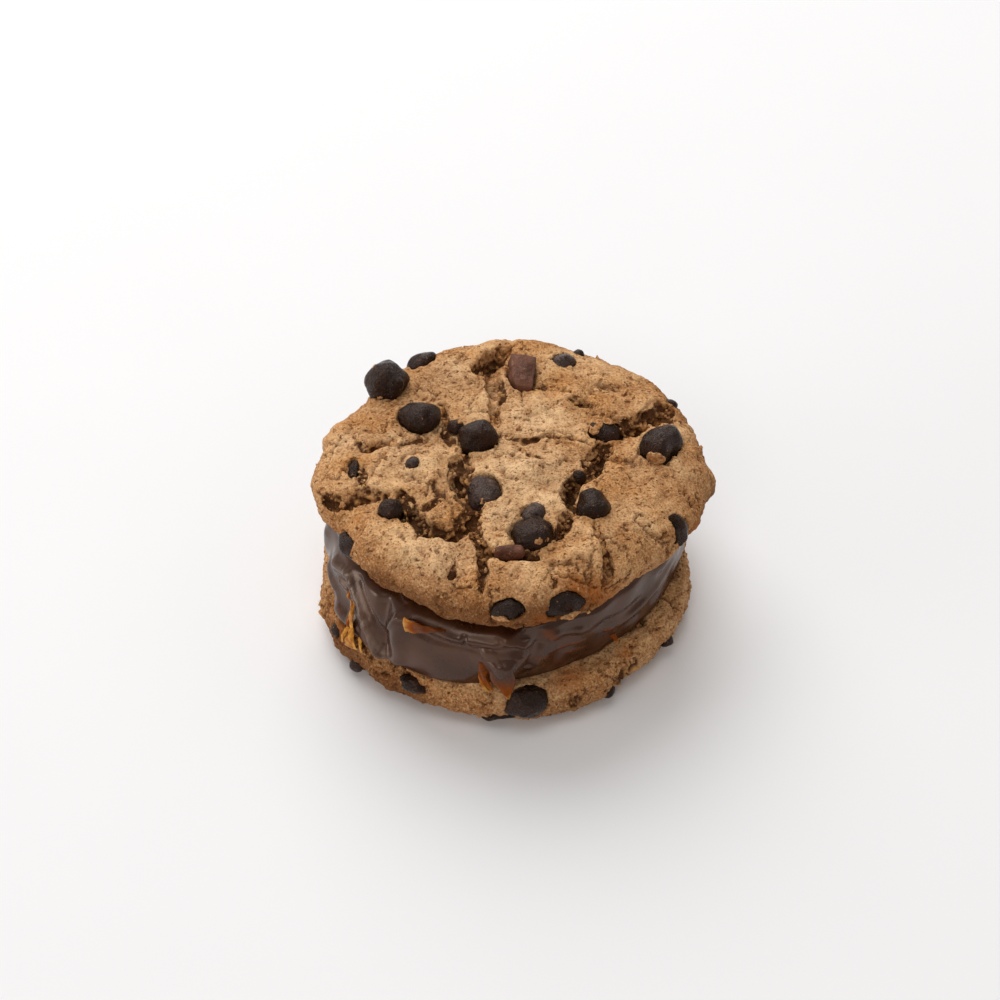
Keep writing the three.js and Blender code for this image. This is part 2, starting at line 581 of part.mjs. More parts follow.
function fillingGeometry() {
  const points = [];
  const triangles = [];
  const rings = [];
  for (let row = 0; row < FILLING.rows; row += 1) {
    const level = row / (FILLING.rows - 1);
    rings.push({ start: points.length, count: FILLING.sectors });
    for (let i = 0; i < FILLING.sectors; i += 1) {
      const azimuth = (2 * Math.PI * i) / FILLING.sectors;
      const degrees = THREE.MathUtils.radToDeg(azimuth);
      const [foot, belly, lip] = [FILLING.foot, FILLING.belly, FILLING.lip].map((r) => around(r, azimuth));
      const bulge = Math.sin(Math.PI * level) ** 0.8 * (belly - (foot + lip) / 2);
      const folds = FOLDS.reduce(
        (sum, fold) =>
          sum +
          fold.reach *
            hump(degreesBetween(fold.azimuth, degrees), fold.round) *
            hump(level - fold.level, fold.up),
        0,
      );
      const ripple = noise.noise(6 * Math.cos(azimuth), 6 * Math.sin(azimuth), 3 * level) * FILLING.ripple;
      const swell = (folds + ripple) * Math.sin(Math.PI * level) ** 0.5;
      const radius = foot + (lip - foot) * level + bulge + swell;
      const [x, y] = [radius * Math.cos(azimuth), radius * Math.sin(azimuth)];
      const low = LOWER_THICKNESS + GAP;
      points.push([x, y, low + (undersideOfUpper(x, y) - GAP - low) * level]);
    }
  }
  for (let row = 1; row < FILLING.rows; row += 1) {
    stitch(rings[row], rings[row - 1], triangles);
  }
  points.push([0, 0, LOWER_THICKNESS + GAP], [0, 0, undersideOfUpper(0, 0) - GAP]);
  stitchCentre(points.length - 2, rings[0], triangles, true);
  stitchCentre(points.length - 1, rings[FILLING.rows - 1], triangles, false);
  const body = solidOf(geometryOf(points, triangles));
  const whole = PEAKS.reduce((solid, peak) => solid.add(peakSolid(peak)), body);
  return geometryOfSolid(whole.simplify(SMOOTHED / 2));
}

// ---------------------------------------------------------------- materials and the whole

const bakedDough = new THREE.MeshStandardMaterial({ color: BISCUIT_COLOUR, roughness: 0.95, metalness: 0 });
const darkChocolate = new THREE.MeshStandardMaterial({ color: CHIP_COLOUR, roughness: 0.5, metalness: 0 });
const milkChocolate = new THREE.MeshStandardMaterial({ color: MILK_CHIP_COLOUR, roughness: 0.45, metalness: 0 });
const dulceDeLeche = new THREE.MeshStandardMaterial({ color: FILLING_COLOUR, roughness: 0.25, metalness: 0 });

const lower = biscuitGroup("biscuit_lower", LOWER, LOWER_CRACKS, [...LOWER_FACE_CHIPS, ...LOWER_RIM_CHIPS]);
lower.rotation.x = Math.PI;
lower.position.z = LOWER_THICKNESS;

const upper = biscuitGroup("biscuit_upper", UPPER, UPPER_CRACKS, [...UPPER_FACE_CHIPS, ...UPPER_RIM_CHIPS]);
upper.rotation.set(LEAN_FRONT, LEAN_RIGHT, 0);
upper.position.z = LOWER_THICKNESS + FILLING_THICKNESS;

const filling = new THREE.Mesh(fillingGeometry(), dulceDeLeche);
filling.name = "filling";

const alfajor = new THREE.Group();
alfajor.add(lower, filling, upper);

export default alfajor;
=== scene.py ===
# %% [markdown]
# # An alfajor of chocolate chip biscuits
#
# Two round biscuits, about 80 mm across, hold a thick layer of dulce de leche between them. The frame
# that this script loads has the plain solids: two biscuits, the filling and the chips, each in its place.
# The script keeps their sizes and dresses them: crumbly dough with pores and short cracks, chocolate
# with bloom and dents, and a glossy filling with folds and amber tips. The cells run from top to bottom.

import math

import bmesh
import bpy
import numpy as np
from mathutils import Matrix, Vector
from mathutils.bvhtree import BVHTree


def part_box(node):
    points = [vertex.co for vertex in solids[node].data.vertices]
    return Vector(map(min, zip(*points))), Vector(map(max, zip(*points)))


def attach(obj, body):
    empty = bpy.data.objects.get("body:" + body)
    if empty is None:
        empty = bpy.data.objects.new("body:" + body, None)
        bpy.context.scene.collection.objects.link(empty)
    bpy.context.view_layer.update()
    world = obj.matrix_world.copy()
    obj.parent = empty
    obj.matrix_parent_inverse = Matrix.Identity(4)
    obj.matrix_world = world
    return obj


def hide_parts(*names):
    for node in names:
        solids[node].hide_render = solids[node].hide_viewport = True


MM = 0.001
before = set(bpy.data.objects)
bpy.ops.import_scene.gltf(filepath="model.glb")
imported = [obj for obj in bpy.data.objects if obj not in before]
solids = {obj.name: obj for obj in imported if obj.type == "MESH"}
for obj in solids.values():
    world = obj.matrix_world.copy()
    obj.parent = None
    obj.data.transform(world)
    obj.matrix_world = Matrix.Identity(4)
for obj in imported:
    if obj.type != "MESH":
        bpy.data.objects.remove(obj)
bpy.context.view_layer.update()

# %% [markdown]
# ## Helpers
#
# Every material and every Geometry Nodes tree below is built from the same small step: make a node, set
# it up, and fill or link its inputs. One function does that. An input can be another node, which then
# gives its first output. Colours are given as sRGB hex codes, and Blender wants linear light, so
# a second function turns one into the other.


# %% Make a node, turn a colour linear
def add_node(tree, kind, inputs=(), **settings):
    """Adds a node. Its inputs come in a list, in their order, or by name or number. Each is set or linked."""
    node = tree.nodes.new(kind)
    for name, value in settings.items():
        setattr(node, name, value)
    for key, value in inputs.items() if isinstance(inputs, dict) else enumerate(inputs):
        if isinstance(value, bpy.types.Node):
            value = value.outputs[0]
        if isinstance(value, bpy.types.NodeSocket):
            tree.links.new(value, node.inputs[key])
        else:
            node.inputs[key].default_value = value
    return node


def linear(code):
    """An sRGB hex colour, such as b2825a, as linear red, green, blue and alpha."""
    channels = [int(code[i : i + 2], 16) / 255 for i in (0, 2, 4)]
    return [c / 12.92 if c <= 0.04045 else ((c + 0.055) / 1.055) ** 2.4 for c in channels] + [1.0]


# %% [markdown]
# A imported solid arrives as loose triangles. A modifier needs one connected skin, so each copy is made
# of new points and its doubles are merged. A piece that has its modifiers is then settled: the result
# is read back as a plain mesh, and the modifiers go.


# %% Copy a solid, settle a piece
MERGE = 0.002  # points closer than this, in mm, are one


def new_piece(name, mesh):
    piece = bpy.data.objects.new(name, mesh)
    bpy.context.scene.collection.objects.link(piece)
    return piece


def skin_of(node, name):
    """A new object with a connected copy of a solid's skin."""
    source = solids[node].data
    work = bmesh.new()
    points = [work.verts.new(v.co) for v in source.vertices]
    for face in source.polygons:
        work.faces.new([points[i] for i in face.vertices])
    bmesh.ops.remove_doubles(work, verts=work.verts, dist=MERGE * MM)
    mesh = bpy.data.meshes.new(name)
    work.to_mesh(mesh)
    work.free()
    return new_piece(name, mesh)


def settle(piece):
    """Turns a piece with modifiers into a plain mesh."""
    depsgraph = bpy.context.evaluated_depsgraph_get()
    done = bpy.data.meshes.new_from_object(piece.evaluated_get(depsgraph), depsgraph=depsgraph)
    piece.modifiers.clear()
    piece.data = done
    return piece


def finish_with(piece, tree, values):
    """Runs a Geometry Nodes tree on a piece, with named values, and settles the result."""
    step = piece.modifiers.new(tree.name, "NODES")
    step.node_group = tree
    for item in tree.interface.items_tree:
        if item.item_type == "SOCKET" and item.in_out == "INPUT" and item.name in values:
            step[item.identifier] = values[item.name]
    return settle(piece)


def start_tree(name, inputs):
    """A Geometry Nodes tree that takes a geometry, a material, and numbers that come as name: default."""
    tree = bpy.data.node_groups.new(name, "GeometryNodeTree")
    tree.interface.new_socket("Geometry", in_out="INPUT", socket_type="NodeSocketGeometry")
    tree.interface.new_socket("Geometry", in_out="OUTPUT", socket_type="NodeSocketGeometry")
    tree.interface.new_socket("Material", in_out="INPUT", socket_type="NodeSocketMaterial")
    for key, value in inputs.items():
        kind = "NodeSocketInt" if isinstance(value, int) else "NodeSocketFloat"
        tree.interface.new_socket(key, in_out="INPUT", socket_type=kind).default_value = value
    return tree, add_node(tree, "NodeGroupInput"), add_node(tree, "NodeGroupOutput")


def end_tree(tree, given, result, geometry):
    """Ends a tree in the way that an export needs: instances made real, and the material set."""
    real = add_node(tree, "GeometryNodeRealizeInstances", [geometry])
    dressed = add_node(tree, "GeometryNodeSetMaterial", {0: real, "Material": given.outputs["Material"]})
    tree.links.new(dressed.outputs[0], result.inputs[0])
    return tree


def give_attribute(mesh, name, values):
    """Stores one number for each point of a mesh."""
    mesh.attributes.new(name, "FLOAT", "POINT").data.foreach_set("value", np.asarray(values, np.float32))


def points_of(mesh):
    """The points of a mesh in millimetres, one row each."""
    flat = np.empty(len(mesh.vertices) * 3, np.float32)
    mesh.vertices.foreach_get("co", flat)
    return flat.reshape(-1, 3) / MM


def move_points(mesh, points):
    """Puts the points of a mesh at new places, in millimetres."""
    mesh.vertices.foreach_set("co", (points * MM).astype(np.float32).ravel())
    mesh.update()


def stand_on_floor(mesh):
    """Lifts the points that relief has pushed under the floor."""
    points = points_of(mesh)
    points[:, 2] = np.maximum(points[:, 2], 0)
    move_points(mesh, points)


# %% [markdown]
# ## Baked dough
#
# The crust of a chocolate chip biscuit is matt and dry. Its rim is browner, and it is full of pinholes,
# sugar grains and dark specks. Its raised parts are painted lighter and its low parts darker, which is
# painted light and shade. Its cracks and the hollows round the chips are painted dark: partly the browner
# torn dough, partly painted shade. A noise 12 mm wide carries the slow change of colour, one of 2.6 mm the
# mottling, one of 0.45 mm the grain and one of 0.95 mm the pinholes. The mesh brings six numbers for each
# point: how far it lies in a crack, whether it is in a pore, how toasted it is, with painted shade along
# some edges, how much caramel has soaked in, how pale it is and how high it stands.


# %% Start, layer and finish a material
def start_material(name):
    material = bpy.data.materials.new(name)
    material.use_nodes = True
    tree = material.node_tree
    return tree, tree.nodes["Principled BSDF"], add_node(tree, "ShaderNodeTexCoord").outputs["Object"]


def lay_colours(tree, ground, layers):
    """Lays colours over a ground. A layer has a number, the limits that make it a share, and a colour."""
    for number, limits, colour in layers:
        share = add_node(tree, "ShaderNodeMapRange", [number, *limits]) if limits else number
        colour = linear(colour) if isinstance(colour, str) else colour
        mixed = {0: share, 6: ground, 7: colour}
        ground = add_node(tree, "ShaderNodeMix", mixed, data_type="RGBA").outputs[2]
    return ground


def finish_material(tree, surface, colour, heights, depth, strength=1.0):
    """Gives a surface its colour, and a bump of a depth in mm."""
    tree.links.new(colour, surface.inputs["Base Color"])
    bump = {"Height": heights, "Distance": depth * MM, "Strength": strength}
    tree.links.new(add_node(tree, "ShaderNodeBump", bump).outputs[0], surface.inputs["Normal"])


# %% Dough material
# each noise's width in mm and its detail
DOUGH_NOISES = {"slow": (12, 3), "mottle": (2.6, 5), "grain": (0.45, 2), "holes": (0.95, 2)}


def dough_material(name):
    tree, surface, place = start_material(name)
    noises = {}
    for key, (width, detail) in DOUGH_NOISES.items():
        wave = {"Vector": place, "Scale": 1 / (width * MM), "Detail": detail, "Roughness": 0.62}
        noises[key] = add_node(tree, "ShaderNodeTexNoise", wave)
    marks = {}
    for key in ("cavity", "pore", "toast_and_shade", "caramel", "pale", "high"):
        marks[key] = add_node(tree, "ShaderNodeAttribute", attribute_name=key).outputs["Fac"]
    clusters = add_node(tree, "ShaderNodeMapRange", [noises["slow"], 0.3, 0.7, 0.04, -0.04])
    porous = add_node(tree, "ShaderNodeMath", [noises["holes"], clusters], operation="ADD")
    hole = add_node(tree, "ShaderNodeMapRange", [porous, 0.6, 0.72])
    # painted shade: in a crack or hollow the colour goes to dark brown, lighter only where crumbs stand high;
    # partly the browner torn dough
    crumbs = lay_colours(tree, linear("48260f"), [(marks["high"], (0.3, 0.75), "cb935a")])
    layers = [
        (noises["slow"], (0.36, 0.64), "edc08d"),
        (marks["pale"], None, "f2cea2"),
        # painted light and shade: low relief is painted darker and high relief lighter
        (marks["high"], (0.5, 0.1, 0.0, 0.5), "9c6a40"),
        (marks["high"], (0.5, 0.95, 0.0, 0.45), "f0cb98"),
        (noises["mottle"], (0.46, 0.7, 0.0, 0.55), "9a6032"),
        # the toasting also carries painted shade, along the upper rim's lower front edge and on the lower
        # biscuit's left front
        (marks["toast_and_shade"], None, "9a6438"),
        (noises["grain"], (0.5, 0.72, 0.0, 0.5), "f1cc9a"),
        (noises["grain"], (0.48, 0.3, 0.0, 0.7), "85491d"),
        (marks["toast_and_shade"], (0.66, 1.0, 0.0, 0.6), "5c3415"),
        # painted shade in cracks, pits and round the chips, partly the browner torn dough
        (marks["cavity"], (0.15, 0.95, 0.0, 0.88), crumbs),
        (hole, (0.0, 1.0, 0.0, 0.8), "6e3409"),
        (marks["pore"], None, "53260b"),
        (marks["caramel"], None, "9c5419"),
    ]
    colour = lay_colours(tree, linear("c78c52"), layers)
    surface.inputs["Roughness"].default_value = 0.88
    surface.inputs["Specular IOR Level"].default_value = 0.14
    heights = add_node(tree, "ShaderNodeMath", [hole, -0.8, noises["grain"]], operation="MULTIPLY_ADD")
    finish_material(tree, surface, colour, heights, depth=0.38)
    return bpy.data.materials[name]


dough = dough_material("baked biscuit dough")
print("made", dough.name)

# %% [markdown]
# ## The biscuits' relief
#
# The solids have the outline, the domed face, the main cracks and a pocket for each chip. What is left is
# relief from half a millimetre to a few millimetres. It could be sculpted by hand, or faked in the
# shader, but then a mesh of the part would be smooth. Here the copy of the solid gets an even skin of
# small squares (Remesh, 0.4 mm), and two Geometry Nodes trees move its points. Each has a new skin to
# work on, so that no square is stretched:
#
# - the first tears valleys into the face and bends the straight walls of the cracks,
# - the second blurs what the cuts left sharp, and compares each point with a stronger blur, which tells
#   how deep it lies in a crack. Then it pushes each point in or out along its normal: lumps, ridges,
#   grains, pores and short cracks everywhere, crumbs where the crust is torn, and a collar of dough round
#   each chip.


# %% Valley tree
VALLEY_SIZES = {"Wobble": 2.0 * MM, "Valleys": 1.0 * MM}


def torn_share(tree, place):
    """1 where the crust is torn. A noise over the plan makes the edge of a valley ragged."""
    flat = add_node(tree, "ShaderNodeVectorMath", [place, (1.0, 1.0, 0.25)], operation="MULTIPLY")
    wave = {"Vector": flat, "Scale": 1 / (2.6 * MM), "Detail": 4.0, "Roughness": 0.6}
    noise = add_node(tree, "ShaderNodeTexNoise", wave)
    near = add_node(tree, "GeometryNodeInputNamedAttribute", {"Name": "valley"}, data_type="FLOAT")
    ragged = add_node(tree, "ShaderNodeMath", [noise, 2.6, near], operation="MULTIPLY_ADD")
    return add_node(tree, "ShaderNodeMapRange", [ragged, 1.3, 1.5])


def valley_tree():
    tree, given, result = start_tree("valleys", VALLEY_SIZES)
    place = add_node(tree, "GeometryNodeInputPosition")
    torn = torn_share(tree, place)
    depth = add_node(tree, "GeometryNodeInputNamedAttribute", {"Name": "valley_depth"}, data_type="FLOAT")
    deep = add_node(tree, "ShaderNodeMath", [torn, depth], operation="MULTIPLY")
    fall = add_node(tree, "ShaderNodeMath", [deep, given.outputs["Valleys"]], operation="MULTIPLY")
    down = add_node(tree, "ShaderNodeVectorMath", {0: (0.0, 0.0, -1.0), "Scale": fall}, operation="SCALE")
    wave = {"Vector": place, "Scale": 1 / (5 * MM), "Detail": 3.0, "Roughness": 0.6}
    noise = add_node(tree, "ShaderNodeTexNoise", wave).outputs[1]
    centred = add_node(tree, "ShaderNodeVectorMath", [noise, (0.5, 0.5, 0.5)], operation="SUBTRACT")
    wobble = {0: centred, "Scale": given.outputs["Wobble"]}
    bend = add_node(tree, "ShaderNodeVectorMath", wobble, operation="SCALE")
    push = add_node(tree, "ShaderNodeVectorMath", [down, bend], operation="ADD")
    moved = add_node(tree, "GeometryNodeSetPosition", {0: given, "Offset": push})
    return end_tree(tree, given, result, moved)


# %% [markdown]
# The relief is a sum of noises. A noise is wide for lumps and fine for grains. Three of them are read at
# a shifted place, so that they don't follow the others.


# %% Noises of the relief
def relief_noises(tree, place):
    aside, away = (
        add_node(tree, "ShaderNodeVectorMath", [place, shift], operation="ADD")
        for shift in ((0.3, 0.1, 0.2), (0.05, 0.02, 0.07))
    )
    noises = {}
    for key, width, detail, where in (
        ("lump", 8, 1, place),
        ("ridge", 5, 2, aside),
        ("warp", 1.5, 3, place),
        ("fine", 1.0, 3, place),
        ("pore", 1.9, 3, away),
        ("bend", 2.5, 2, place),
        ("cracked", 6, 1, away),
        ("collar", 2.2, 2, place),
    ):
        wave = {"Vector": where, "Scale": 1 / (width * MM), "Detail": detail, "Roughness": 0.6}
        noises[key] = add_node(tree, "ShaderNodeTexNoise", wave)
    return noises


# %% [markdown]
# A point lies in a hollow where the blurred skin is above it, or where the crust is torn. Crumbs are
# coarse there, and grains are fine elsewhere. Both are the cells of a Voronoi pattern, bent by a noise.


# %% Hollows and plates
def hollow_share(tree, place, normal):
    """How far each point lies in a hollow, from 0 to 1."""
    blur = {"Value": place, "Iterations": 26}
    blurred = add_node(tree, "GeometryNodeBlurAttribute", blur, data_type="FLOAT_VECTOR")
    sunk = add_node(tree, "ShaderNodeVectorMath", [blurred, place], operation="SUBTRACT")
    depth = add_node(tree, "ShaderNodeVectorMath", [sunk, normal], operation="DOT_PRODUCT").outputs["Value"]
    deep = add_node(tree, "ShaderNodeMapRange", [depth, 0.15 * MM, 0.8 * MM])
    return add_node(tree, "ShaderNodeMath", [deep, torn_share(tree, place)], operation="MAXIMUM")


def plate_height(tree, given, place, noises, cavity):
    """Height of the lumps, ridges and grains."""
    swell = add_node(tree, "ShaderNodeMath", [noises["lump"], 0.5], operation="SUBTRACT")
    lumps = add_node(tree, "ShaderNodeMath", [swell, given.outputs["Lumps"]], operation="MULTIPLY")
    signed = add_node(tree, "ShaderNodeMath", [noises["ridge"], 0.5], operation="SUBTRACT")
    crease = add_node(tree, "ShaderNodeMath", [signed], operation="ABSOLUTE")
    groove = add_node(tree, "ShaderNodeMapRange", [crease, 0.0, 0.1, -1.0, 0.0])
    ridges = add_node(tree, "ShaderNodeMath", [groove, given.outputs["Ridges"]], operation="MULTIPLY")
    sizes = [cavity, given.outputs["Crumbs in cracks"], given.outputs["Grains"]]
    coarse = add_node(tree, "ShaderNodeMath", sizes, operation="MULTIPLY_ADD")
    warp = [noises["warp"].outputs[1], (2.4 * MM,) * 3, place]
    warped = add_node(tree, "ShaderNodeVectorMath", warp, operation="MULTIPLY_ADD")
    cells = {"Vector": warped, "Scale": 1 / (1.6 * MM), "Smoothness": 0.25}
    cell = add_node(tree, "ShaderNodeTexVoronoi", cells, feature="SMOOTH_F1")
    dome = add_node(tree, "ShaderNodeMath", [0.4, cell], operation="SUBTRACT")
    grains = add_node(tree, "ShaderNodeMath", [dome, coarse], operation="MULTIPLY")
    rough = add_node(tree, "ShaderNodeMath", [noises["fine"], 0.5], operation="SUBTRACT")
    finer = add_node(tree, "ShaderNodeMath", [coarse, 1.3], operation="MULTIPLY")
    fine = add_node(tree, "ShaderNodeMath", [rough, finer], operation="MULTIPLY")
    large = add_node(tree, "ShaderNodeMath", [lumps, ridges], operation="ADD")
    small = add_node(tree, "ShaderNodeMath", [grains, fine], operation="ADD")
    return add_node(tree, "ShaderNodeMath", [large, small], operation="ADD")


# %% [markdown]
# Steam left pores, and the crust cracked as it dried. The short cracks follow the edges of large cells,
# open in some places and shut in others.


# %% Pores, short cracks and collars
def pore_shares(tree, place, noises):
    """Where there is a pore, and where there is a short crack."""
    pore = add_node(tree, "ShaderNodeMapRange", [noises["pore"], 0.63, 0.71])
    bend = [noises["bend"].outputs[1], (2.2 * MM,) * 3, place]
    bent = add_node(tree, "ShaderNodeVectorMath", bend, operation="MULTIPLY_ADD")
    net = {"Vector": bent, "Scale": 1 / (7.5 * MM)}
    edge = add_node(tree, "ShaderNodeTexVoronoi", net, feature="DISTANCE_TO_EDGE")
    line = add_node(tree, "ShaderNodeMapRange", [edge.outputs["Distance"], 0.0, 0.036, 1.0, 0.0])
    open_here = add_node(tree, "ShaderNodeMapRange", [noises["cracked"], 0.5, 0.58])
    return pore, add_node(tree, "ShaderNodeMath", [line, open_here], operation="MULTIPLY")


def hole_depth(tree, given, pore, crack):
    """How deep the pores and the short cracks go."""
    pores = add_node(tree, "ShaderNodeMath", [pore, given.outputs["Pores"]], operation="MULTIPLY")
    cracks = add_node(tree, "ShaderNodeMath", [crack, given.outputs["Short cracks"]], operation="MULTIPLY")
    return add_node(tree, "ShaderNodeMath", [pores, cracks], operation="ADD")


def collar_height(tree, given, noises):
    """Height of the dough that closes round a chip."""
    near = add_node(tree, "GeometryNodeInputNamedAttribute", {"Name": "collar"}, data_type="FLOAT")
    uneven = add_node(tree, "ShaderNodeMath", [near, noises["collar"]], operation="MULTIPLY")
    return add_node(tree, "ShaderNodeMath", [uneven, given.outputs["Collars"]], operation="MULTIPLY")


# %% Relief tree
RELIEF = {
    "Lumps": 1.5 * MM,
    "Ridges": 0.25 * MM,
    "Grains": 0.24 * MM,
    "Crumbs in cracks": 1.4 * MM,
    "Pores": 0.6 * MM,
    "Short cracks": 0.8 * MM,
    "Collars": 0.7 * MM,
}


def relief_tree():
    tree, given, result = start_tree("biscuit relief", RELIEF)
    place = add_node(tree, "GeometryNodeInputPosition")
    normal = add_node(tree, "GeometryNodeInputNormal")
    noises = relief_noises(tree, place)
    pore, crack = pore_shares(tree, place, noises)
    cavity = add_node(tree, "GeometryNodeInputNamedAttribute", {"Name": "cavity"}, data_type="FLOAT")
    plates = plate_height(tree, given, place, noises, cavity)
    shallow = add_node(tree, "ShaderNodeMath", [crack, 0.8], operation="MULTIPLY")
    blur = {"Value": place, "Iterations": 2}
    blurred = add_node(tree, "GeometryNodeBlurAttribute", blur, data_type="FLOAT_VECTOR")
    skin = add_node(tree, "GeometryNodeSetPosition", {0: given, "Position": blurred})
    for name, value in (
        ("cavity", hollow_share(tree, place, normal)),
        ("pore", add_node(tree, "ShaderNodeMath", [pore, shallow], operation="MAXIMUM")),
        ("high", add_node(tree, "ShaderNodeMapRange", [plates, -0.6 * MM, 0.6 * MM])),
    ):
        named = {"Geometry": skin, "Name": name, "Value": value}
        skin = add_node(tree, "GeometryNodeStoreNamedAttribute", named, data_type="FLOAT", domain="POINT")
    raised = add_node(tree, "ShaderNodeMath", [plates, collar_height(tree, given, noises)], operation="ADD")
    holes = hole_depth(tree, given, pore, crack)
    height = add_node(tree, "ShaderNodeMath", [raised, holes], operation="SUBTRACT")
    outward = add_node(tree, "ShaderNodeVectorMath", {0: normal, "Scale": height}, operation="SCALE")
    moved = add_node(tree, "GeometryNodeSetPosition", {0: skin, "Offset": outward})
    return end_tree(tree, given, result, add_node(tree, "GeometryNodeSetShadeSmooth", [moved]))


valleys_in = valley_tree()
relief = relief_tree()
print("valley tree has", len(valleys_in.nodes), "nodes, relief tree", len(relief.nodes))

# %% [markdown]
# The crust has split along some lines, and the side has torn in some places. A valley is a line over the
# face, with half its width and its depth. A rough place is a round spot, with its centre and radius. Each
# point stores how near it is to them, and how near to the oval of a chip.

# %% Where the crust is torn
# a line over the face, half the width of the valley and how deep it falls, in mm
VALLEYS = [
    [[(-35, -9.5), (-31, -11.5), (-27.5, -10.5), (-23, -11.5)], 1.3, 0.8],
    [[(-20.5, -12), (-18.5, -17), (-15, -20), (-11, -20), (-8, -18), (-6.3, -14.5)], 2.2, 1.7],
    [[(-14.5, -8.5), (-13, -12), (-16, -15)], 0.9, 0.5],
    [[(-5.3, -21), (-5, -25), (-4.6, -29.5), (-5.2, -34)], 0.7, 1.3],
    [[(-6, -17), (-6.3, -21), (-4.5, -25), (0, -26.6), (5.5, -26.3)], 1.1, 1.5],
    [[(-30.5, 5), (-28.2, 1), (-25, 3), (-21.5, 2.5), (-17, 4.5)], 0.4, 0.6],
    [[(-28.5, -4), (-28, -8), (-26, -12)], 0.6, 0.9],
    [[(-3, 5.5), (1, 5), (4.5, 4.6), (8.5, 5.6), (12.5, 4.8), (16.5, 3.5)], 0.4, 0.7],
    [[(2.5, 2), (4.5, -0.3), (7, -1.8)], 0.4, 0.5],
    [[(19.5, 3.5), (17.6, 0), (16.3, -4), (13, -7), (12, -11), (13, -15)], 1.6, 2.2],
    [[(11.8, -16), (10.8, -19.5), (9.2, -22.5)], 1.1, 1.5],
    [[(22.5, 8.5), (26, 10), (29, 12.5), (31.5, 15)], 2.1, 2.0],
    [[(16.8, -17.5), (17.6, -21), (19.2, -25), (19.3, -28.5), (18.6, -31.5)], 0.7, 1.3],
    [[(12.5, 16), (15, 15.4), (17.2, 15.6)], 0.6, 1.1],
    [[(10, 20), (12.8, 18)], 0.5, 0.8],
    [[(4.5, 19.6), (7.5, 20.3)], 0.5, 0.8],
    [[(-1.5, 21), (-1, 17), (-2.6, 12.5), (-3.4, 9)], 0.8, 0.7],
    [[(-5.5, 26), (-3, 28.5), (-0.5, 31.5)], 1.9, 2.6],
    [[(-9.5, -2.5), (-8.6, -6), (-8.8, -10), (-7, -14)], 1.6, 1.8],
    [[(-8.4, 0.5), (-7.3, -4)], 0.8, 1.1],
    [[(-13, 15), (-12.4, 11.5), (-12, 7), (-10.5, 3)], 0.9, 1.0],
    [[(-10, -28), (-10.6, -31)], 0.5, 0.9],
    [[(8, -30.5), (9, -33)], 0.5, 0.9],
]

ROUGH_SPOTS = [
    [(24.0, -28.0, 6.0), 9.0],
    [(33.0, -16.0, 6.0), 7.0],
    [(37.0, -4.0, 6.0), 6.0],
    [(13.0, -36.0, 6.0), 5.0],
    [(-27.0, -26.0, 7.0), 5.0],
    [(-14.0, -34.0, 5.0), 4.0],
    [(-36.0, -10.0, 7.0), 6.0],
    [(-24.0, 28.0, 6.0), 8.0],
    [(10.0, 37.0, 6.0), 9.0],
    [(16.0, -34.0, 28.5), 5.0],
    [(27.0, -27.0, 29.0), 5.0],
    [(-33.0, -17.0, 31.0), 5.0],
    [(-38.0, -6.0, 31.0), 4.0],
    [(38.0, 8.0, 32.0), 5.0],
    [(-20.0, 33.0, 30.0), 6.0],
]


def spot_cover(points, spots, most):
    """How strongly a list of round spots covers each point, from 0 to the most."""
    cover = np.zeros(len(points), np.float32)
    for centre, radius in spots:
        distance = np.linalg.norm(points - np.array(centre, np.float32), axis=1)
        cover = np.maximum(cover, most * np.clip(1.25 - distance / radius, 0, 1))
    return cover


FACE = 32  # mm above the floor; the valleys are only in the face above it


def mark_valleys(mesh, lines):
    """Stores how near each point is to a valley, 1 on its line and 0 at its edge, and how deep that is."""
    points = points_of(mesh)
    near = np.full(len(points), -1.0)
    depth = np.zeros(len(points))
    for line, width, fall in lines:
        for start, end in zip(np.array(line[:-1], float), np.array(line[1:], float)):
            along = end - start
            share = np.clip((points[:, :2] - start) @ along / (along @ along), 0, 1)
            distance = np.hypot(*(points[:, :2] - start - share[:, None] * along).T)
            closeness = np.clip(1 - distance / width, -1, 1)
            nearer = closeness > near
            near = np.where(nearer, closeness, near)
            depth = np.where(nearer, fall, depth)
    near = np.where(points[:, 2] > FACE, near, -1.0)
    rough = spot_cover(points, ROUGH_SPOTS, 1.0) - 0.95  # a rough place is torn like a valley's edge
    give_attribute(mesh, "valley", np.maximum(near, rough))
    give_attribute(mesh, "valley_depth", depth)


# a collar is highest at this many times the chip's oval, and ends this much further in and out
COLLAR, COLLAR_WIDTH = 1.2, 0.3


def mark_collars(mesh):
    """Stores where the dough closes round a chip: 1 on the top of the collar, 0 outside it."""
    points = points_of(mesh)
    collar = np.zeros(len(points))
    for node in (n for n in solids if n.startswith("chip_")):
        low, high = (np.array(corner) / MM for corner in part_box(node))
        size = np.linalg.norm((points - (low + high) / 2) / ((high - low) / 2), axis=1)
        collar = np.maximum(collar, np.clip(1 - np.abs(size - COLLAR) / COLLAR_WIDTH, 0, 1))
    give_attribute(mesh, "collar", collar)


print(len(VALLEYS), "valleys and", len(ROUGH_SPOTS), "rough places")
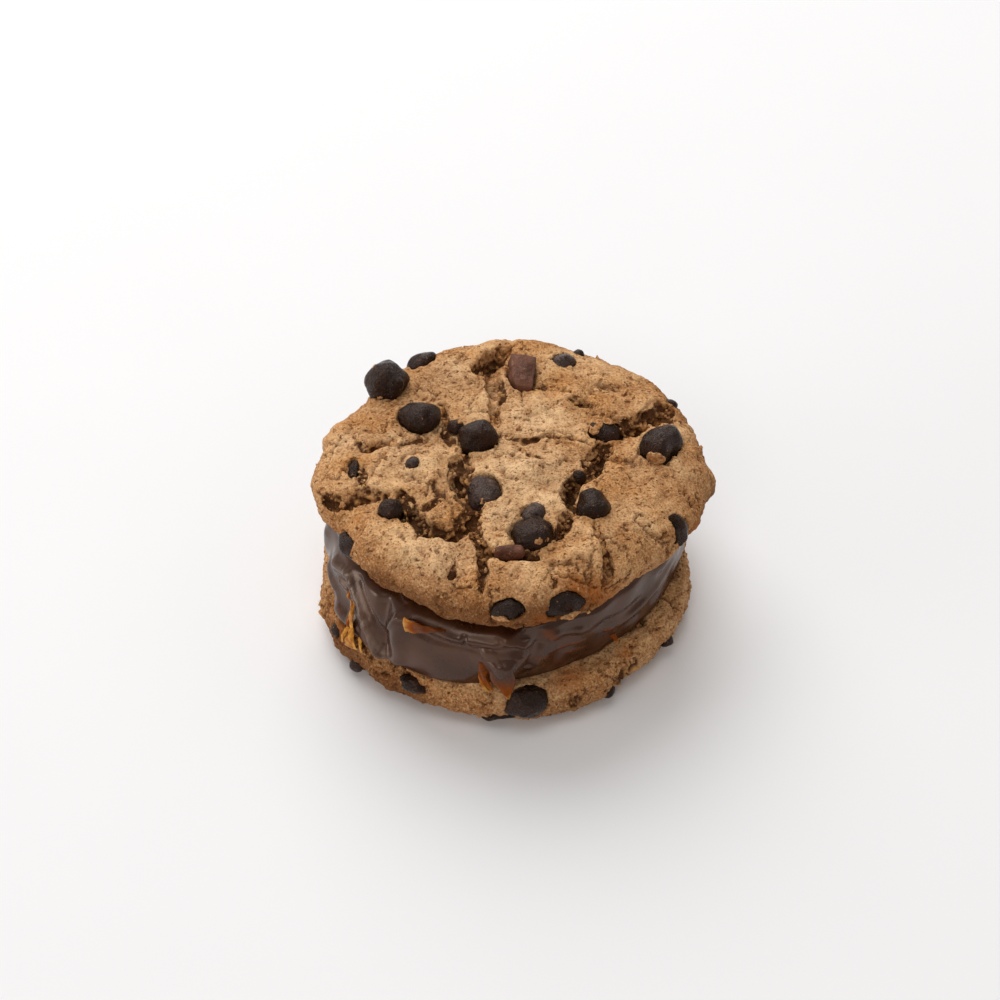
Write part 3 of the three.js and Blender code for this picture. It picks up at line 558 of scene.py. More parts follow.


# %% [markdown]
# Heat browns a biscuit from its rim and its underside inwards, so the toasting is worked out from how far
# a point lies from the axis and how low it is. The filling has soaked into a few places near the rim, and
# some parts of the crust are paler or browner than the rest. These are lists of round spots too. Painted
# shade goes into the toasting as well: spots along the upper biscuit's lower edge in front, where the rim
# rolls under, and two on the lower biscuit's left front, under the filling.

# %% Where the dough is stained, pale and brown, and where shade is painted
CARAMEL_SPOTS = [
    [(12.5, -32.5, 33.0), 3.6],
    [(17.0, -31.5, 31.5), 3.0],
    [(-34.5, -16.0, 31.0), 3.0],
    [(8.0, -38.0, 28.5), 4.0],
    [(20.0, -31.0, 28.5), 4.0],
    [(-14.0, -37.0, 29.0), 3.0],
    [(-30.5, -24.5, 29.0), 2.4],
    [(36.5, -12.0, 28.5), 3.0],
    [(-35.0, -14.0, 11.0), 2.6],
    [(-32.5, -21.0, 11.0), 3.0],
    [(12.0, -33.5, 11.5), 4.0],
    [(24.0, -27.0, 11.5), 3.0],
]
PALE_SPOTS = [
    [(4.0, -5.0, 39.0), 11.0],
    [(-20.0, 2.0, 38.5), 7.0],
    [(0.0, -17.0, 39.0), 6.0],
    [(-12.0, -27.0, 37.0), 7.0],
    [(4.0, 10.0, 38.5), 7.0],
    [(-12.0, 24.0, 37.5), 7.0],
    [(-31.0, 4.0, 37.0), 5.0],
]
BROWN_SPOTS = [
    [(-17.0, 24.0, 37.0), 5.0],
    [(-26.0, 9.0, 37.0), 7.0],
    [(-24.0, 16.0, 36.5), 5.0],
    [(-14.5, 18.5, 38.5), 7.0],
    [(-8.0, 9.0, 38.0), 3.5],
    [(-10.0, -7.0, 38.0), 4.0],
    [(3.5, -15.5, 39.0), 2.4],
    [(9.0, -15.5, 39.0), 2.4],
    [(24.0, 12.0, 37.0), 5.0],
    [(14.0, 22.0, 37.5), 4.0],
    [(31.0, -6.0, 36.0), 7.0],
    [(-32.0, -11.0, 36.0), 5.0],
    [(-1.0, 28.0, 37.0), 5.0],
    [(22.0, -22.0, 37.0), 6.0],
    [(-3.0, -34.0, 35.0), 6.0],
    [(-27.0, -22.0, 35.0), 5.0],
    # painted shade: these two darken the lower biscuit's left front, under the filling
    [(-30.0, -21.0, 7.0), 10.0],
    [(-21.0, -30.0, 5.0), 9.0],
]
# painted shade along the upper biscuit's lower edge in front, where the rim rolls under, from one azimuth to
# the next
EDGE_TURNS = [math.radians(azimuth) for azimuth in range(230, 300, 10)]
EDGE_SHADE_SPOTS = [[(38 * math.cos(turn), 38 * math.sin(turn), 30.5), 8.0] for turn in EDGE_TURNS]


# how far from the axis the toasting starts and is full, in mm, and the rim's share of it
TOAST_FROM, TOAST_FULL, RIM_SHARE = 33, 39, 0.32


def bake_marks(mesh, low, high):
    """Stores toasting with painted shade in it, caramel and paleness. Toasting is full in the rim under low,
    and weak above high.
    """
    points = points_of(mesh)
    radius = np.hypot(points[:, 0], points[:, 1])
    rim = np.clip((radius - TOAST_FROM) / (TOAST_FULL - TOAST_FROM), 0, 1)
    under = np.clip((high - points[:, 2]) / (high - low), 0, 1)
    # the edge spots are painted shade under the front rim; they go into the toasting
    brown = np.maximum(spot_cover(points, BROWN_SPOTS, 0.4), spot_cover(points, EDGE_SHADE_SPOTS, 0.6))
    baked = RIM_SHARE * rim + (1 - RIM_SHARE) * rim * under
    give_attribute(mesh, "toast_and_shade", np.clip(baked + brown, 0, 1))
    give_attribute(mesh, "caramel", spot_cover(points, CARAMEL_SPOTS, 0.75))
    give_attribute(mesh, "pale", spot_cover(points, PALE_SPOTS, 0.5))


brown_count = len(BROWN_SPOTS) + len(EDGE_SHADE_SPOTS)
print(len(CARAMEL_SPOTS), "caramel spots,", len(PALE_SPOTS), "pale ones and", brown_count, "brown ones")


# %% [markdown]
# The upper biscuit's rim sags a little in front, over a ridge of the filling, where it leaves only a thin
# dark gap.

# %% Make the two biscuits
# degrees, degrees and mm; the sag starts and is full at these distances from the axis and heights, in mm
SAG = {"azimuth": 250.0, "spread": 19.0, "most": 1.6, "radius": (29, 35), "height": (38, 30)}


def sag_rim(mesh):
    """Lets the upper biscuit's rim sag over the filling: most at its lower edge, nothing on its face."""
    points = points_of(mesh)
    turn = (np.degrees(np.arctan2(points[:, 1], points[:, 0])) - SAG["azimuth"] + 180) % 360 - 180
    near = np.cos(np.radians(90 * np.minimum(np.abs(turn) / SAG["spread"], 1))) ** 2
    share = SAG["most"] * near
    for values, (start, full) in (
        (np.hypot(points[:, 0], points[:, 1]), SAG["radius"]),
        (points[:, 2], SAG["height"]),
    ):
        share = share * np.clip((values - start) / (full - start), 0, 1)
    points[:, 2] -= share
    move_points(mesh, points)


def make_biscuit(node, square, low, high, valleys, **changes):
    """A biscuit of small squares, toasted under high and fully under low, with its own sizes of relief."""
    piece = skin_of(node, node + "_baked")
    for tree in (valleys_in, relief):
        remesh = piece.modifiers.new("even skin", "REMESH")
        remesh.mode = "VOXEL"
        remesh.voxel_size = square * MM
        settle(piece)
        mark_valleys(piece.data, valleys)
        mark_collars(piece.data)
        finish_with(piece, tree, {"Material": dough, **changes})
    if valleys:
        sag_rim(piece.data)
    bake_marks(piece.data, low, high)
    print(piece.name, "has", sum(len(p.vertices) - 2 for p in piece.data.polygons), "triangles")
    return piece


LOWER_RELIEF = {"Lumps": 1.4 * MM, "Grains": 0.6 * MM, "Pores": 1.3 * MM}
upper_biscuit = make_biscuit("biscuit_upper", square=0.41, low=27.0, high=37.5, valleys=VALLEYS)
lower_biscuit = make_biscuit("biscuit_lower", square=0.42, low=0.0, high=16.0, valleys=[], **LOWER_RELIEF)

# %% [markdown]
# ## Chocolate
#
# The dark chips kept their shape in the oven: rounded drops with dents, some with a grey bloom and
# crumbs stuck on. Chocolate is semi-gloss, so a soft light gives it broad, dull highlights. The milk
# chocolate pieces are broken off a bar, with flat sides, and are lighter and redder.


# %% Chocolate materials
def chocolate_material(name, dark, light, dust, roughness):
    tree, surface, place = start_material(name)
    noises = []
    for width, detail in ((3.5, 3), (0.6, 4), (1.5, 4)):
        wave = {"Vector": place, "Scale": 1 / (width * MM), "Detail": detail, "Roughness": 0.65}
        noises.append(add_node(tree, "ShaderNodeTexNoise", wave))
    patch, scuff, spot = noises
    stored = add_node(tree, "ShaderNodeAttribute", attribute_name="bloom").outputs["Fac"]
    patchy = add_node(tree, "ShaderNodeMapRange", [spot, 0.36, 0.56])
    bloom = add_node(tree, "ShaderNodeMath", [stored, patchy], operation="MULTIPLY")
    crumb = add_node(tree, "ShaderNodeMath", [spot, scuff], operation="MULTIPLY")
    layers = [
        (patch, (0.4, 0.62), light),
        (spot, (0.58, 0.7, 0.0, 0.4), dust),
        (bloom, None, "625450"),
        (crumb, (0.38, 0.42, 0.0, 0.85), "a37f58"),
    ]
    gloss = add_node(tree, "ShaderNodeMapRange", [spot, 0.35, 0.65, roughness - 0.08, roughness + 0.2])
    tree.links.new(gloss.outputs[0], surface.inputs["Roughness"])
    surface.inputs["Specular IOR Level"].default_value = 0.34
    surface.inputs["Specular Tint"].default_value = linear("ffe2d2")
    heights = add_node(tree, "ShaderNodeMath", [spot, 2.0, scuff], operation="MULTIPLY_ADD")
    finish_material(tree, surface, lay_colours(tree, linear(dark), layers), heights, depth=0.3)
    return bpy.data.materials[name]


CHOCOLATES = {
    "dark chocolate": {"dark": "150803", "light": "28120a", "dust": "472a1f", "roughness": 0.22},
    "milk chocolate": {"dark": "583527", "light": "744a38", "dust": "a07a64", "roughness": 0.42},
}
dark_chocolate, milk_chocolate = (chocolate_material(name, **look) for name, look in CHOCOLATES.items())
print("made", dark_chocolate.name, "and", milk_chocolate.name)

# %% [markdown]
# Each chip's solid is a ball of 80 faces or a plain block. Its copy is blown up a little, set deeper in
# the dough, so that this closes round it, and subdivided. A tree then dents it with three noises. All
# chips of one kind become one piece, because they share a material and never move on their own.


# %% Dent tree and the chips
DENTS = {"Bend": 1.4 * MM, "Flats": 0.6 * MM, "Pits": 0.5 * MM}


def dent_tree():
    tree, given, result = start_tree("chocolate dents", DENTS)
    place = add_node(tree, "GeometryNodeInputPosition")
    normal = add_node(tree, "GeometryNodeInputNormal")
    noises = []
    for width, detail in ((4.5, 1), (5.5, 1), (1.3, 3)):
        wave = {"Vector": place, "Scale": 1 / (width * MM), "Detail": detail}
        noises.append(add_node(tree, "ShaderNodeTexNoise", wave))
    turn, flat, rough = noises
    centred = [turn.outputs[1], (0.5, 0.5, 0.5)]
    centred = add_node(tree, "ShaderNodeVectorMath", centred, operation="SUBTRACT")
    turned = {0: centred, "Scale": given.outputs["Bend"]}
    bend = add_node(tree, "ShaderNodeVectorMath", turned, operation="SCALE")
    pressed = add_node(tree, "ShaderNodeMapRange", [flat, 0.45, 0.7])
    flats = add_node(tree, "ShaderNodeMath", [pressed, given.outputs["Flats"]], operation="MULTIPLY")
    signed = add_node(tree, "ShaderNodeMath", [rough, 0.5], operation="SUBTRACT")
    pits = add_node(tree, "ShaderNodeMath", [signed, given.outputs["Pits"]], operation="MULTIPLY")
    height = add_node(tree, "ShaderNodeMath", [pits, flats], operation="SUBTRACT")
    push = add_node(tree, "ShaderNodeVectorMath", {0: normal, "Scale": height}, operation="SCALE")
    offset = add_node(tree, "ShaderNodeVectorMath", [push, bend], operation="ADD")
    moved = add_node(tree, "GeometryNodeSetPosition", {0: given, "Offset": offset})
    return end_tree(tree, given, result, add_node(tree, "GeometryNodeSetShadeSmooth", [moved]))


# how far a chip is set back into the rim, and how far it is lowered into the face, in mm
SET_BACK = {
    "rim_front": 0.4, "rim_front_right": 0.5, "rim_left": 0.8, "rim_right": 0.5, "rim_back_left": 1.6,
    "base_front": 0.4, "base_left": 0.3, "base_front_left": 0.5, "base_front_right": 0.2,
    "base_left_low": 0.1,
}
LOWERED = {
    "back_left_low": 1.6, "right_round": 0.7, "centre_dusty": 1.4, "front_large": 0.9, "right_inner": 0.6,
    "left_round": 0.7, "back_left_ball": 0.8, "middle_angular": 0.3, "left_angular": 0.2, "left_pit": 1.0,
    "left_speck": 0.4, "milk_slab": 0.4, "front_lobe": 0.8,
}
# how much grey bloom a chip has
BLOOM = {"centre_dusty": 0.4, "front_lobe": 0.7, "back_small": 0.5, "left_speck": 0.4}


def listed(node, values):
    """What a list says of a chip, and 0 if it doesn't name it."""
    return values.get(node.removeprefix("chip_"), 0.0)


def make_chips(name, nodes, material, grow, crease, dents):
    """One piece from the copies of several chip solids, each blown up about its own middle."""
    everything = bmesh.new()
    for node in nodes:
        chip = skin_of(node, node + "_copy")
        middle = sum((v.co for v in chip.data.vertices), Vector()) / len(chip.data.vertices)
        inward = Vector((-middle.x, -middle.y, 0)).normalized() * listed(node, SET_BACK) * MM
        inward.z -= listed(node, LOWERED) * MM
        for v in chip.data.vertices:
            v.co += (v.co - middle).normalized() * grow * MM + inward
        if crease:
            bevel = chip.modifiers.new("soft edges", "BEVEL")
            bevel.width = crease * MM
            bevel.segments = 2
        step = chip.modifiers.new("round", "SUBSURF")
        step.levels = step.render_levels = 2
        settle(chip)
        give_attribute(chip.data, "bloom", np.full(len(chip.data.vertices), listed(node, BLOOM)))
        everything.from_mesh(chip.data)
        bpy.data.objects.remove(chip)
    mesh = bpy.data.meshes.new(name)
    everything.to_mesh(mesh)
    everything.free()
    piece = finish_with(new_piece(name, mesh), dent_shapes, {"Material": material, **dents})
    print(name, "joins", len(nodes), "chips in", len(piece.data.polygons), "faces")
    return piece


dent_shapes = dent_tree()
chip_nodes = sorted(n for n in solids if n.startswith("chip_"))
milk_nodes = [n for n in chip_nodes if n.startswith("chip_milk")]
dark_nodes = [n for n in chip_nodes if n not in milk_nodes]
dark_chips = make_chips("dark_chips", dark_nodes, dark_chocolate, grow=0.6, crease=0, dents=DENTS)
MILK_DENTS = {"Bend": 1.0 * MM, "Flats": 0.4 * MM, "Pits": 0.3 * MM}
milk_pieces = make_chips("milk_pieces", milk_nodes, milk_chocolate, grow=0.3, crease=0.5, dents=MILK_DENTS)

# %% [markdown]
# Dough has baked on to some chips. Each dab of it is a small ball, pressed flat against the chip at an
# azimuth and an elevation, and roughened by the same tree as the chips.

# %% Dabs of dough on the chips
# chip, azimuth and elevation on it, size across, along and outwards in mm
DABS = [
    ["chip_right_outer", 250, 4, (3.8, 3.0, 1.1)],
    ["chip_right_inner", 200, 52, (3.0, 3.6, 1.0)],
    ["chip_right_inner", 60, 62, (2.6, 3.0, 0.8)],
    ["chip_front_large", 300, 34, (3.6, 1.3, 0.7)],
    ["chip_front_large", 238, -15, (1.8, 1.5, 1.4)],
    ["chip_front_large", 274, -20, (2.6, 1.8, 1.8)],
    ["chip_centre_dusty", 308, 57, (2.2, 1.6, 0.6)],
    ["chip_centre_dusty", 285, 22, (2.6, 1.6, 1.0)],
    ["chip_centre_dusty", 20, 45, (1.2, 1.0, 0.6)],
    ["chip_centre_dusty", 190, 48, (1.0, 1.3, 0.6)],
    ["chip_centre_dusty", 300, 0, (1.6, 1.4, 1.0)],
    ["chip_back_left_ball", 250, -8, (1.6, 1.0, 0.8)],
    ["chip_back_left_ball", 158, 50, (1.9, 0.4, 0.3)],
    ["chip_middle_dark", 346, 70, (1.1, 0.9, 0.5)],
    ["chip_rim_front_right", 300, -35, (4.4, 1.6, 1.2)],
    ["chip_rim_front", 240, -40, (3.4, 1.6, 1.2)],
]
DAB_DENTS = {"Bend": 2.2 * MM, "Flats": 0.2 * MM, "Pits": 1.3 * MM}
PLAIN_DOUGH = {"cavity": 0.15, "pore": 0.0, "caramel": 0.0, "pale": 0.0, "high": 0.5}


def mark_plain(mesh, toast_and_shade):
    """Gives every point of a mesh the same numbers for the dough material."""
    for key, value in {**PLAIN_DOUGH, "toast_and_shade": toast_and_shade}.items():
        if key in mesh.attributes:
            mesh.attributes.remove(mesh.attributes[key])
        give_attribute(mesh, key, np.full(len(mesh.vertices), value))


def make_dabs():
    everything = bmesh.new()
    for node, azimuth, elevation, size in DABS:
        low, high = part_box(node)
        turn, rise = math.radians(azimuth), math.radians(elevation)
        away = Vector((math.cos(rise) * math.cos(turn), math.cos(rise) * math.sin(turn), math.sin(rise)))
        half = (high - low) / 2
        place = (low + high) / 2 + Vector([h * a for h, a in zip(half, away)])
        place.z -= listed(node, LOWERED) * MM
        placed = Matrix.Translation(place) @ away.to_track_quat("Z", "Y").to_matrix().to_4x4()
        placed = placed @ Matrix.Diagonal([0.5 * MM * v for v in size] + [1])
        bmesh.ops.create_icosphere(everything, subdivisions=4, radius=1, matrix=placed)
    mesh = bpy.data.meshes.new("dough_dabs")
    everything.to_mesh(mesh)
    everything.free()
    piece = finish_with(new_piece("dough_dabs", mesh), dent_shapes, {"Material": dough, **DAB_DENTS})
    mark_plain(piece.data, toast_and_shade=0.6)
    print("dabs of dough:", len(DABS))
    return piece


dabs = make_dabs()

# %% [markdown]
# ## Dulce de leche
#
# The filling is boiled milk and sugar: nearly opaque where it is thick, glossy all over, and amber where
# it thins to a tip. On the left, pale streaks painted on it stand for the sheen of its folds. It was
# pressed out at the side and swiped with a knife, which left a smooth wall in front, soft folds on the
# left and a few pulled peaks. Its wall is a sheet of points by azimuth and level. The solid gives the
# distance from the axis, and named folds are added to it.


# %% Filling material
# each noise's width in mm and its detail
FILLING_NOISES = {"cloud": (1.5, 3), "streak": (6, 3), "ripple": (1.6, 2)}


def filling_material(name):
    tree, surface, place = start_material(name)
    noises = {}
    for key, (width, detail) in FILLING_NOISES.items():
        wave = {"Vector": place, "Scale": 1 / (width * MM), "Detail": detail}
        noises[key] = add_node(tree, "ShaderNodeTexNoise", wave)
    stored, painted_sheen = (
        add_node(tree, "ShaderNodeAttribute", attribute_name=key).outputs["Fac"] for key in ("thin", "painted_sheen")
    )
    cloud = add_node(tree, "ShaderNodeMapRange", [noises["cloud"], 0.3, 0.7, 0.6, 1.2])
    thin = add_node(tree, "ShaderNodeMath", [stored, cloud], operation="MULTIPLY")
    upright = add_node(tree, "ShaderNodeVectorMath", [place, (1.0, 1.0, 0.2)], operation="MULTIPLY")
    lines = {"Vector": upright, "Scale": 1 / (0.9 * MM), "Detail": 4.0}
    lines = add_node(tree, "ShaderNodeTexNoise", lines)
    lines = add_node(tree, "ShaderNodeMapRange", [lines, 0.35, 0.65, 0.1, 0.7])
    painted_sheen = add_node(tree, "ShaderNodeMath", [painted_sheen, lines], operation="MULTIPLY")
    layers = [
        (noises["streak"], (0.38, 0.64), "432311"),
        (thin, (0.1, 0.5), "8c4303"),
        (thin, (0.5, 0.95), "dfa24a"),
        # painted sheen: pale grey streaks on the left folds
        (painted_sheen, None, "8f7b6c"),
    ]
    for number, limits, socket in (
        (noises["streak"], (0.3, 0.7, 0.22, 0.36), "Roughness"),
        (thin, (0.05, 0.4, 0.7, 0.08), "Specular IOR Level"),
    ):
        spread = add_node(tree, "ShaderNodeMapRange", [number, *limits])
        tree.links.new(spread.outputs[0], surface.inputs[socket])
    surface.inputs["Specular Tint"].default_value = linear("ffe0cc")
    surface.inputs["Subsurface Weight"].default_value = 0.08
    surface.inputs["Subsurface Radius"].default_value = (1.0, 0.35, 0.08)
    surface.inputs["Subsurface Scale"].default_value = 1.5 * MM
    heights = add_node(tree, "ShaderNodeMath", [painted_sheen, 2.5, noises["ripple"]], operation="MULTIPLY_ADD")
    colour = lay_colours(tree, linear("30150a"), layers)
    finish_material(tree, surface, colour, heights, depth=0.06, strength=0.7)
    return bpy.data.materials[name]


dulce_de_leche = filling_material("dulce de leche")
print("made", dulce_de_leche.name)

# %% [markdown]
# A fold is a hump along a line on the wall, from one azimuth and level to another. Azimuth runs
# anticlockwise from +X seen from above, so 270 is the front. Level is 0 at the lower biscuit and 1 at the
# upper one. A fold has a reach in millimetres, outwards or in, and a width.

# %% Folds of the wall
# start, end, reach, width in mm
FOLDS = [
    [(236.5, 0.92), (235.5, 0.0), 1.4, 1.7],
    [(229.5, 0.95), (230.5, 0.12), -1.3, 1.5],
    [(232.5, 0.62), (235.5, 0.88), 0.8, 0.6],
    [(235.5, 0.88), (241.0, 0.93), 0.8, 0.6],
    [(201.0, 0.70), (212.0, 0.79), 1.2, 1.4],
    [(212.0, 0.79), (222.4, 0.46), 1.7, 1.4],
    [(222.4, 0.46), (231.5, 0.02), 1.7, 1.3],
    [(206.0, 0.55), (214.0, 0.50), 0.7, 0.7],
    [(214.0, 0.50), (221.0, 0.20), 0.8, 0.7],
    [(216.5, 0.88), (226.0, 0.60), -0.7, 0.6],
    [(226.0, 0.60), (230.5, 0.35), -0.6, 0.6],
    [(218.0, 0.58), (224.5, 0.28), -0.5, 0.35],
    [(209.0, 0.68), (217.5, 0.56), -0.5, 0.35],
    [(196.0, 0.50), (205.0, 0.30), 0.8, 1.2],
    [(190.0, 0.80), (187.0, 0.25), 0.6, 1.4],
    [(203.0, 0.10), (233.0, 0.05), 1.9, 2.2],
    [(243.0, 0.89), (270.0, 0.86), 1.0, 1.1],
    [(237.0, 1.0), (274.0, 1.0), -3.0, 0.45],
    [(206.0, 1.0), (236.0, 1.0), -2.4, 0.8],
    [(275.0, 1.0), (345.0, 1.0), -0.8, 0.8],
    [(268.0, 0.955), (276.5, 0.78), 1.4, 0.8],
    [(241.0, 0.70), (264.0, 0.68), -0.5, 0.9],
    [(257.2, 0.92), (257.8, 0.72), -0.8, 0.3],
    [(268.0, 0.62), (267.5, 0.25), 2.2, 2.3],
    [(275.0, 0.68), (270.0, 0.35), 1.4, 1.9],
    [(280.0, 0.80), (275.0, 0.30), -1.1, 1.5],
    [(284.0, 0.82), (296.0, 0.70), 0.8, 1.2],
    [(300.0, 0.60), (326.0, 0.55), -0.7, 1.4],
    [(312.0, 0.40), (340.0, 0.66), 0.8, 1.4],
    [(330.0, 0.85), (352.0, 0.80), 0.6, 1.2],
    [(20.0, 0.75), (60.0, 0.70), 0.9, 2.0],
    [(70.0, 0.35), (110.0, 0.45), 0.8, 2.2],
    [(118.0, 0.80), (150.0, 0.60), 0.9, 2.0],
    [(150.0, 0.35), (178.0, 0.50), 0.7, 1.8],
    [(95.0, 0.85), (92.0, 0.20), -0.7, 2.0],
    [(45.0, 0.60), (42.0, 0.10), -0.6, 1.8],
]
# fine strands, with how thin and amber they are in place of the reach
STRANDS = [
    [(283.0, 0.53), (297.0, 0.46), 0.5, 0.2],
    [(281.0, 0.92), (286.0, 0.72), 0.26, 1.5],
    [(278.0, 0.50), (284.0, 0.42), 0.24, 0.8],
    [(289.0, 0.36), (297.0, 0.28), 0.26, 0.5],
    [(212.3, 0.60), (215.0, 0.12), 0.95, 0.45],
    [(199.0, 0.66), (203.5, 0.20), 0.15, 0.6],
    [(204.0, 0.30), (212.0, 0.12), 0.2, 0.7],
    [(304.0, 0.46), (308.0, 0.40), 0.4, 0.3],
    [(322.0, 0.32), (327.0, 0.36), 0.3, 0.3],
    [(262.5, 0.42), (266.0, 0.20), 0.4, 0.8],
    [(44.0, 0.38), (54.0, 0.32), 0.5, 0.3],
    [(124.0, 0.49), (136.0, 0.44), 0.5, 0.3],
]
# where pale streaks paint a sheen on the wall: start, end, strength, width in mm
PAINTED_SHEEN = [
    [(198.0, 0.75), (212.0, 0.82), 0.3, 1.5],
    [(212.0, 0.80), (222.4, 0.48), 0.25, 1.6],
    [(222.4, 0.48), (232.5, 0.05), 0.6, 0.9],
    [(206.0, 0.60), (219.0, 0.20), 0.35, 0.8],
]
print(len(FOLDS), "folds,", len(STRANDS), "strands and", len(PAINTED_SHEEN), "strips of film")

# %% [markdown]
# Rays from outside, towards the axis, find the solid's wall. Its peaks are narrow, so the median of the
# sectors about a point leaves them out. What is left is smoothed, because the solid has flat facets.


# %% Wall of the filling
SECTORS = 540
ROWS = 64
WALL_HEIGHT = 15.9  # mm
WALL_RADIUS = 35.0  # mm, on average
RAY_START = 60  # mm from the axis
RAY_LEVELS = (0.04, 0.96)  # a ray nearer than this to the edge of the wall could miss it
PEAK_WINDOW = 31  # sectors, about 13 mm, which is twice as wide as a peak of the solid
OVER_MEDIAN = 0.35  # mm that the wall may stand out over its median
SMOOTHINGS = 14


def wall_radius(azimuths, levels, low, high):
    """Distance from the axis to the solid's wall in mm, with its peaks left out."""
    source = solids["filling"].data
    tree = BVHTree.FromPolygons([v.co for v in source.vertices], [p.vertices for p in source.polygons])
    radii = np.zeros((len(levels), len(azimuths)))
    for j, level in enumerate(levels):
        for i, azimuth in enumerate(azimuths):
            height = low[i] + (high[i] - low[i]) * min(max(level, RAY_LEVELS[0]), RAY_LEVELS[1])
            out = Vector((math.cos(azimuth), math.sin(azimuth), 0))
            hit = tree.ray_cast(out * RAY_START * MM + Vector((0, 0, height * MM)), -out)[0]
            radii[j, i] = math.hypot(hit.x, hit.y) / MM
    around = np.stack([np.roll(radii, k - PEAK_WINDOW // 2, axis=1) for k in range(PEAK_WINDOW)])
    smooth = np.minimum(radii, np.median(around, axis=0) + OVER_MEDIAN)
    for _ in range(SMOOTHINGS):
        smooth = (np.roll(smooth, 1, axis=1) + 2 * smooth + np.roll(smooth, -1, axis=1)) / 4
        smooth[1:-1] = (smooth[:-2] + 2 * smooth[1:-1] + smooth[2:]) / 4
    return smooth


def fold_reach(azimuth, level, lines):
    """Sum of the folds or strands at each point of the wall."""
    total = np.zeros_like(azimuth)
    for (start_turn, start_level), (end_turn, end_level), reach, width in lines:
        across = np.radians((azimuth - start_turn + 180) % 360 - 180) * WALL_RADIUS
        up = (level - start_level) * WALL_HEIGHT
        line_across = math.radians((end_turn - start_turn + 180) % 360 - 180) * WALL_RADIUS
        line_up = (end_level - start_level) * WALL_HEIGHT
        share = np.clip((across * line_across + up * line_up) / (line_across**2 + line_up**2), 0, 1)
        distance = np.hypot(across - share * line_across, up - share * line_up)
        ends = np.clip(1.6 * np.sin(np.pi * (0.1 + 0.8 * share)), 0, 1)
        total += reach * ends * np.exp(-((distance / width) ** 2))
    return total


# %% [markdown]
# The peaks are lofted: oval rings along a bent line, wide at the root and blunt at the tip. Each ring also
# carries how thin the filling is there, which the material turns to amber.

# %% Peaks
# root, bend and tip in mm; width at each of them; thickness; thinness at the root
PEAKS = [
    [(-11.9, -35.2, 25.2), (-16.8, -36.4, 25.9), (-20.1, -33.7, 25.8), (0.6, 1.6, 4.4), 1.2, 0.2],
    [(-1.3, -35.4, 23.0), (-1.0, -40.4, 17.6), (0.4, -40.0, 10.9), (10.5, 5.4, 0.2), 3.6, 0.0],
    [(-4.4, -37.2, 18.2), (-5.2, -39.4, 15.6), (-2.6, -39.7, 13.0), (2.4, 1.3, 0.3), 1.3, 0.3],
    [(-4.9, -37.4, 17.2), (-5.9, -39.2, 15.0), (-3.4, -39.4, 12.0), (1.1, 0.8, 0.3), 0.8, 0.5],
    [(-29.6, -21.6, 21.5), (-31.0, -22.8, 16.5), (-30.6, -23.0, 12.2), (0.6, 1.0, 1.2), 0.9, 0.7],
    [(-30.4, -23.0, 13.0), (-31.4, -24.6, 11.6), (-30.8, -25.2, 9.6), (1.0, 2.6, 4.8), 0.9, 0.75],
    [(-31.2, -22.2, 12.4), (-32.8, -23.2, 11.4), (-32.6, -23.6, 9.6), (0.8, 1.0, 0.5), 0.8, 0.85],
    [(-28.8, -24.6, 12.4), (-29.2, -26.4, 11.4), (-28.6, -26.8, 9.9), (0.8, 0.9, 0.4), 0.7, 0.85],
    [(20.0, -24.6, 14.4), (21.2, -26.4, 14.0), (21.8, -26.6, 12.6), (1.8, 1.0, 0.3), 0.9, 0.3],
]


def loft_peak(root, bend, tip, widths, thick, first, sides=18, rings=26):
    """Points, faces and thinness of one peak."""
    ends = [np.array(p, float) for p in (root, bend, tip)]
    points, faces, thin = [], [], []
    for i in range(rings):
        t = i / (rings - 1)
        middle = (1 - t) ** 2 * ends[0] + 2 * t * (1 - t) * ends[1] + t**2 * ends[2]
        along = 2 * (1 - t) * (ends[1] - ends[0]) + 2 * t * (ends[2] - ends[1])
        along /= np.linalg.norm(along)
        radial = np.array([middle[0], middle[1], 0]) / math.hypot(middle[0], middle[1])
        across = np.cross(radial, along)
        across /= np.linalg.norm(across)
        out = np.cross(along, across)
        width = (1 - t) ** 2 * widths[0] + 2 * t * (1 - t) * widths[1] + t**2 * widths[2]
        blunt = math.sqrt(max(0.01, 1 - max(0.0, (t - 0.9) / 0.1) ** 2))
        deep = 0.5 * thick * (1 - 0.75 * t) * blunt
        for k in range(sides):
            turn = 2 * math.pi * k / sides
            ripple = 1 + 0.14 * math.sin(3 * turn + 9 * t) + 0.1 * math.sin(2 * turn - 17 * t)
            side = across * 0.5 * width * blunt * ripple * math.cos(turn)
            points.append(middle + side + out * deep * ripple**2 * math.sin(turn))
            edge = abs(math.cos(turn)) ** 2 * min(1, 2.5 * t)
            thin.append(first + (0.85 - first) * t**3 + 0.12 * edge)
    for i in range(rings - 1):
        for k in range(sides):
            a, b = i * sides + k, i * sides + (k + 1) % sides
            faces.append((a, b, b + sides, a + sides))
    points += [ends[0], ends[2]]
    thin += [first, 1.0]
    last = (rings - 1) * sides
    for k in range(sides):
        faces.append((rings * sides, (k + 1) % sides, k))
        faces.append((rings * sides + 1, last + k, last + (k + 1) % sides))
    return points, faces, thin


# %% [markdown]
# The wall's sheet is closed with a fan of triangles below and above. The upper biscuit lies a little
# askew, so the top of the wall leans with it.


# %% Make the filling
TOP = 26.7  # mm above the floor, on the axis
TOP_RADIUS = 34  # mm, where its lean is reckoned
TOP_LEAN = (2, 1)  # degrees, down towards +X and up towards +Y
WAVES = [(0.22, 9, 5), (0.16, 23, -7)]  # height in mm, how often it comes round the wall, and its slant


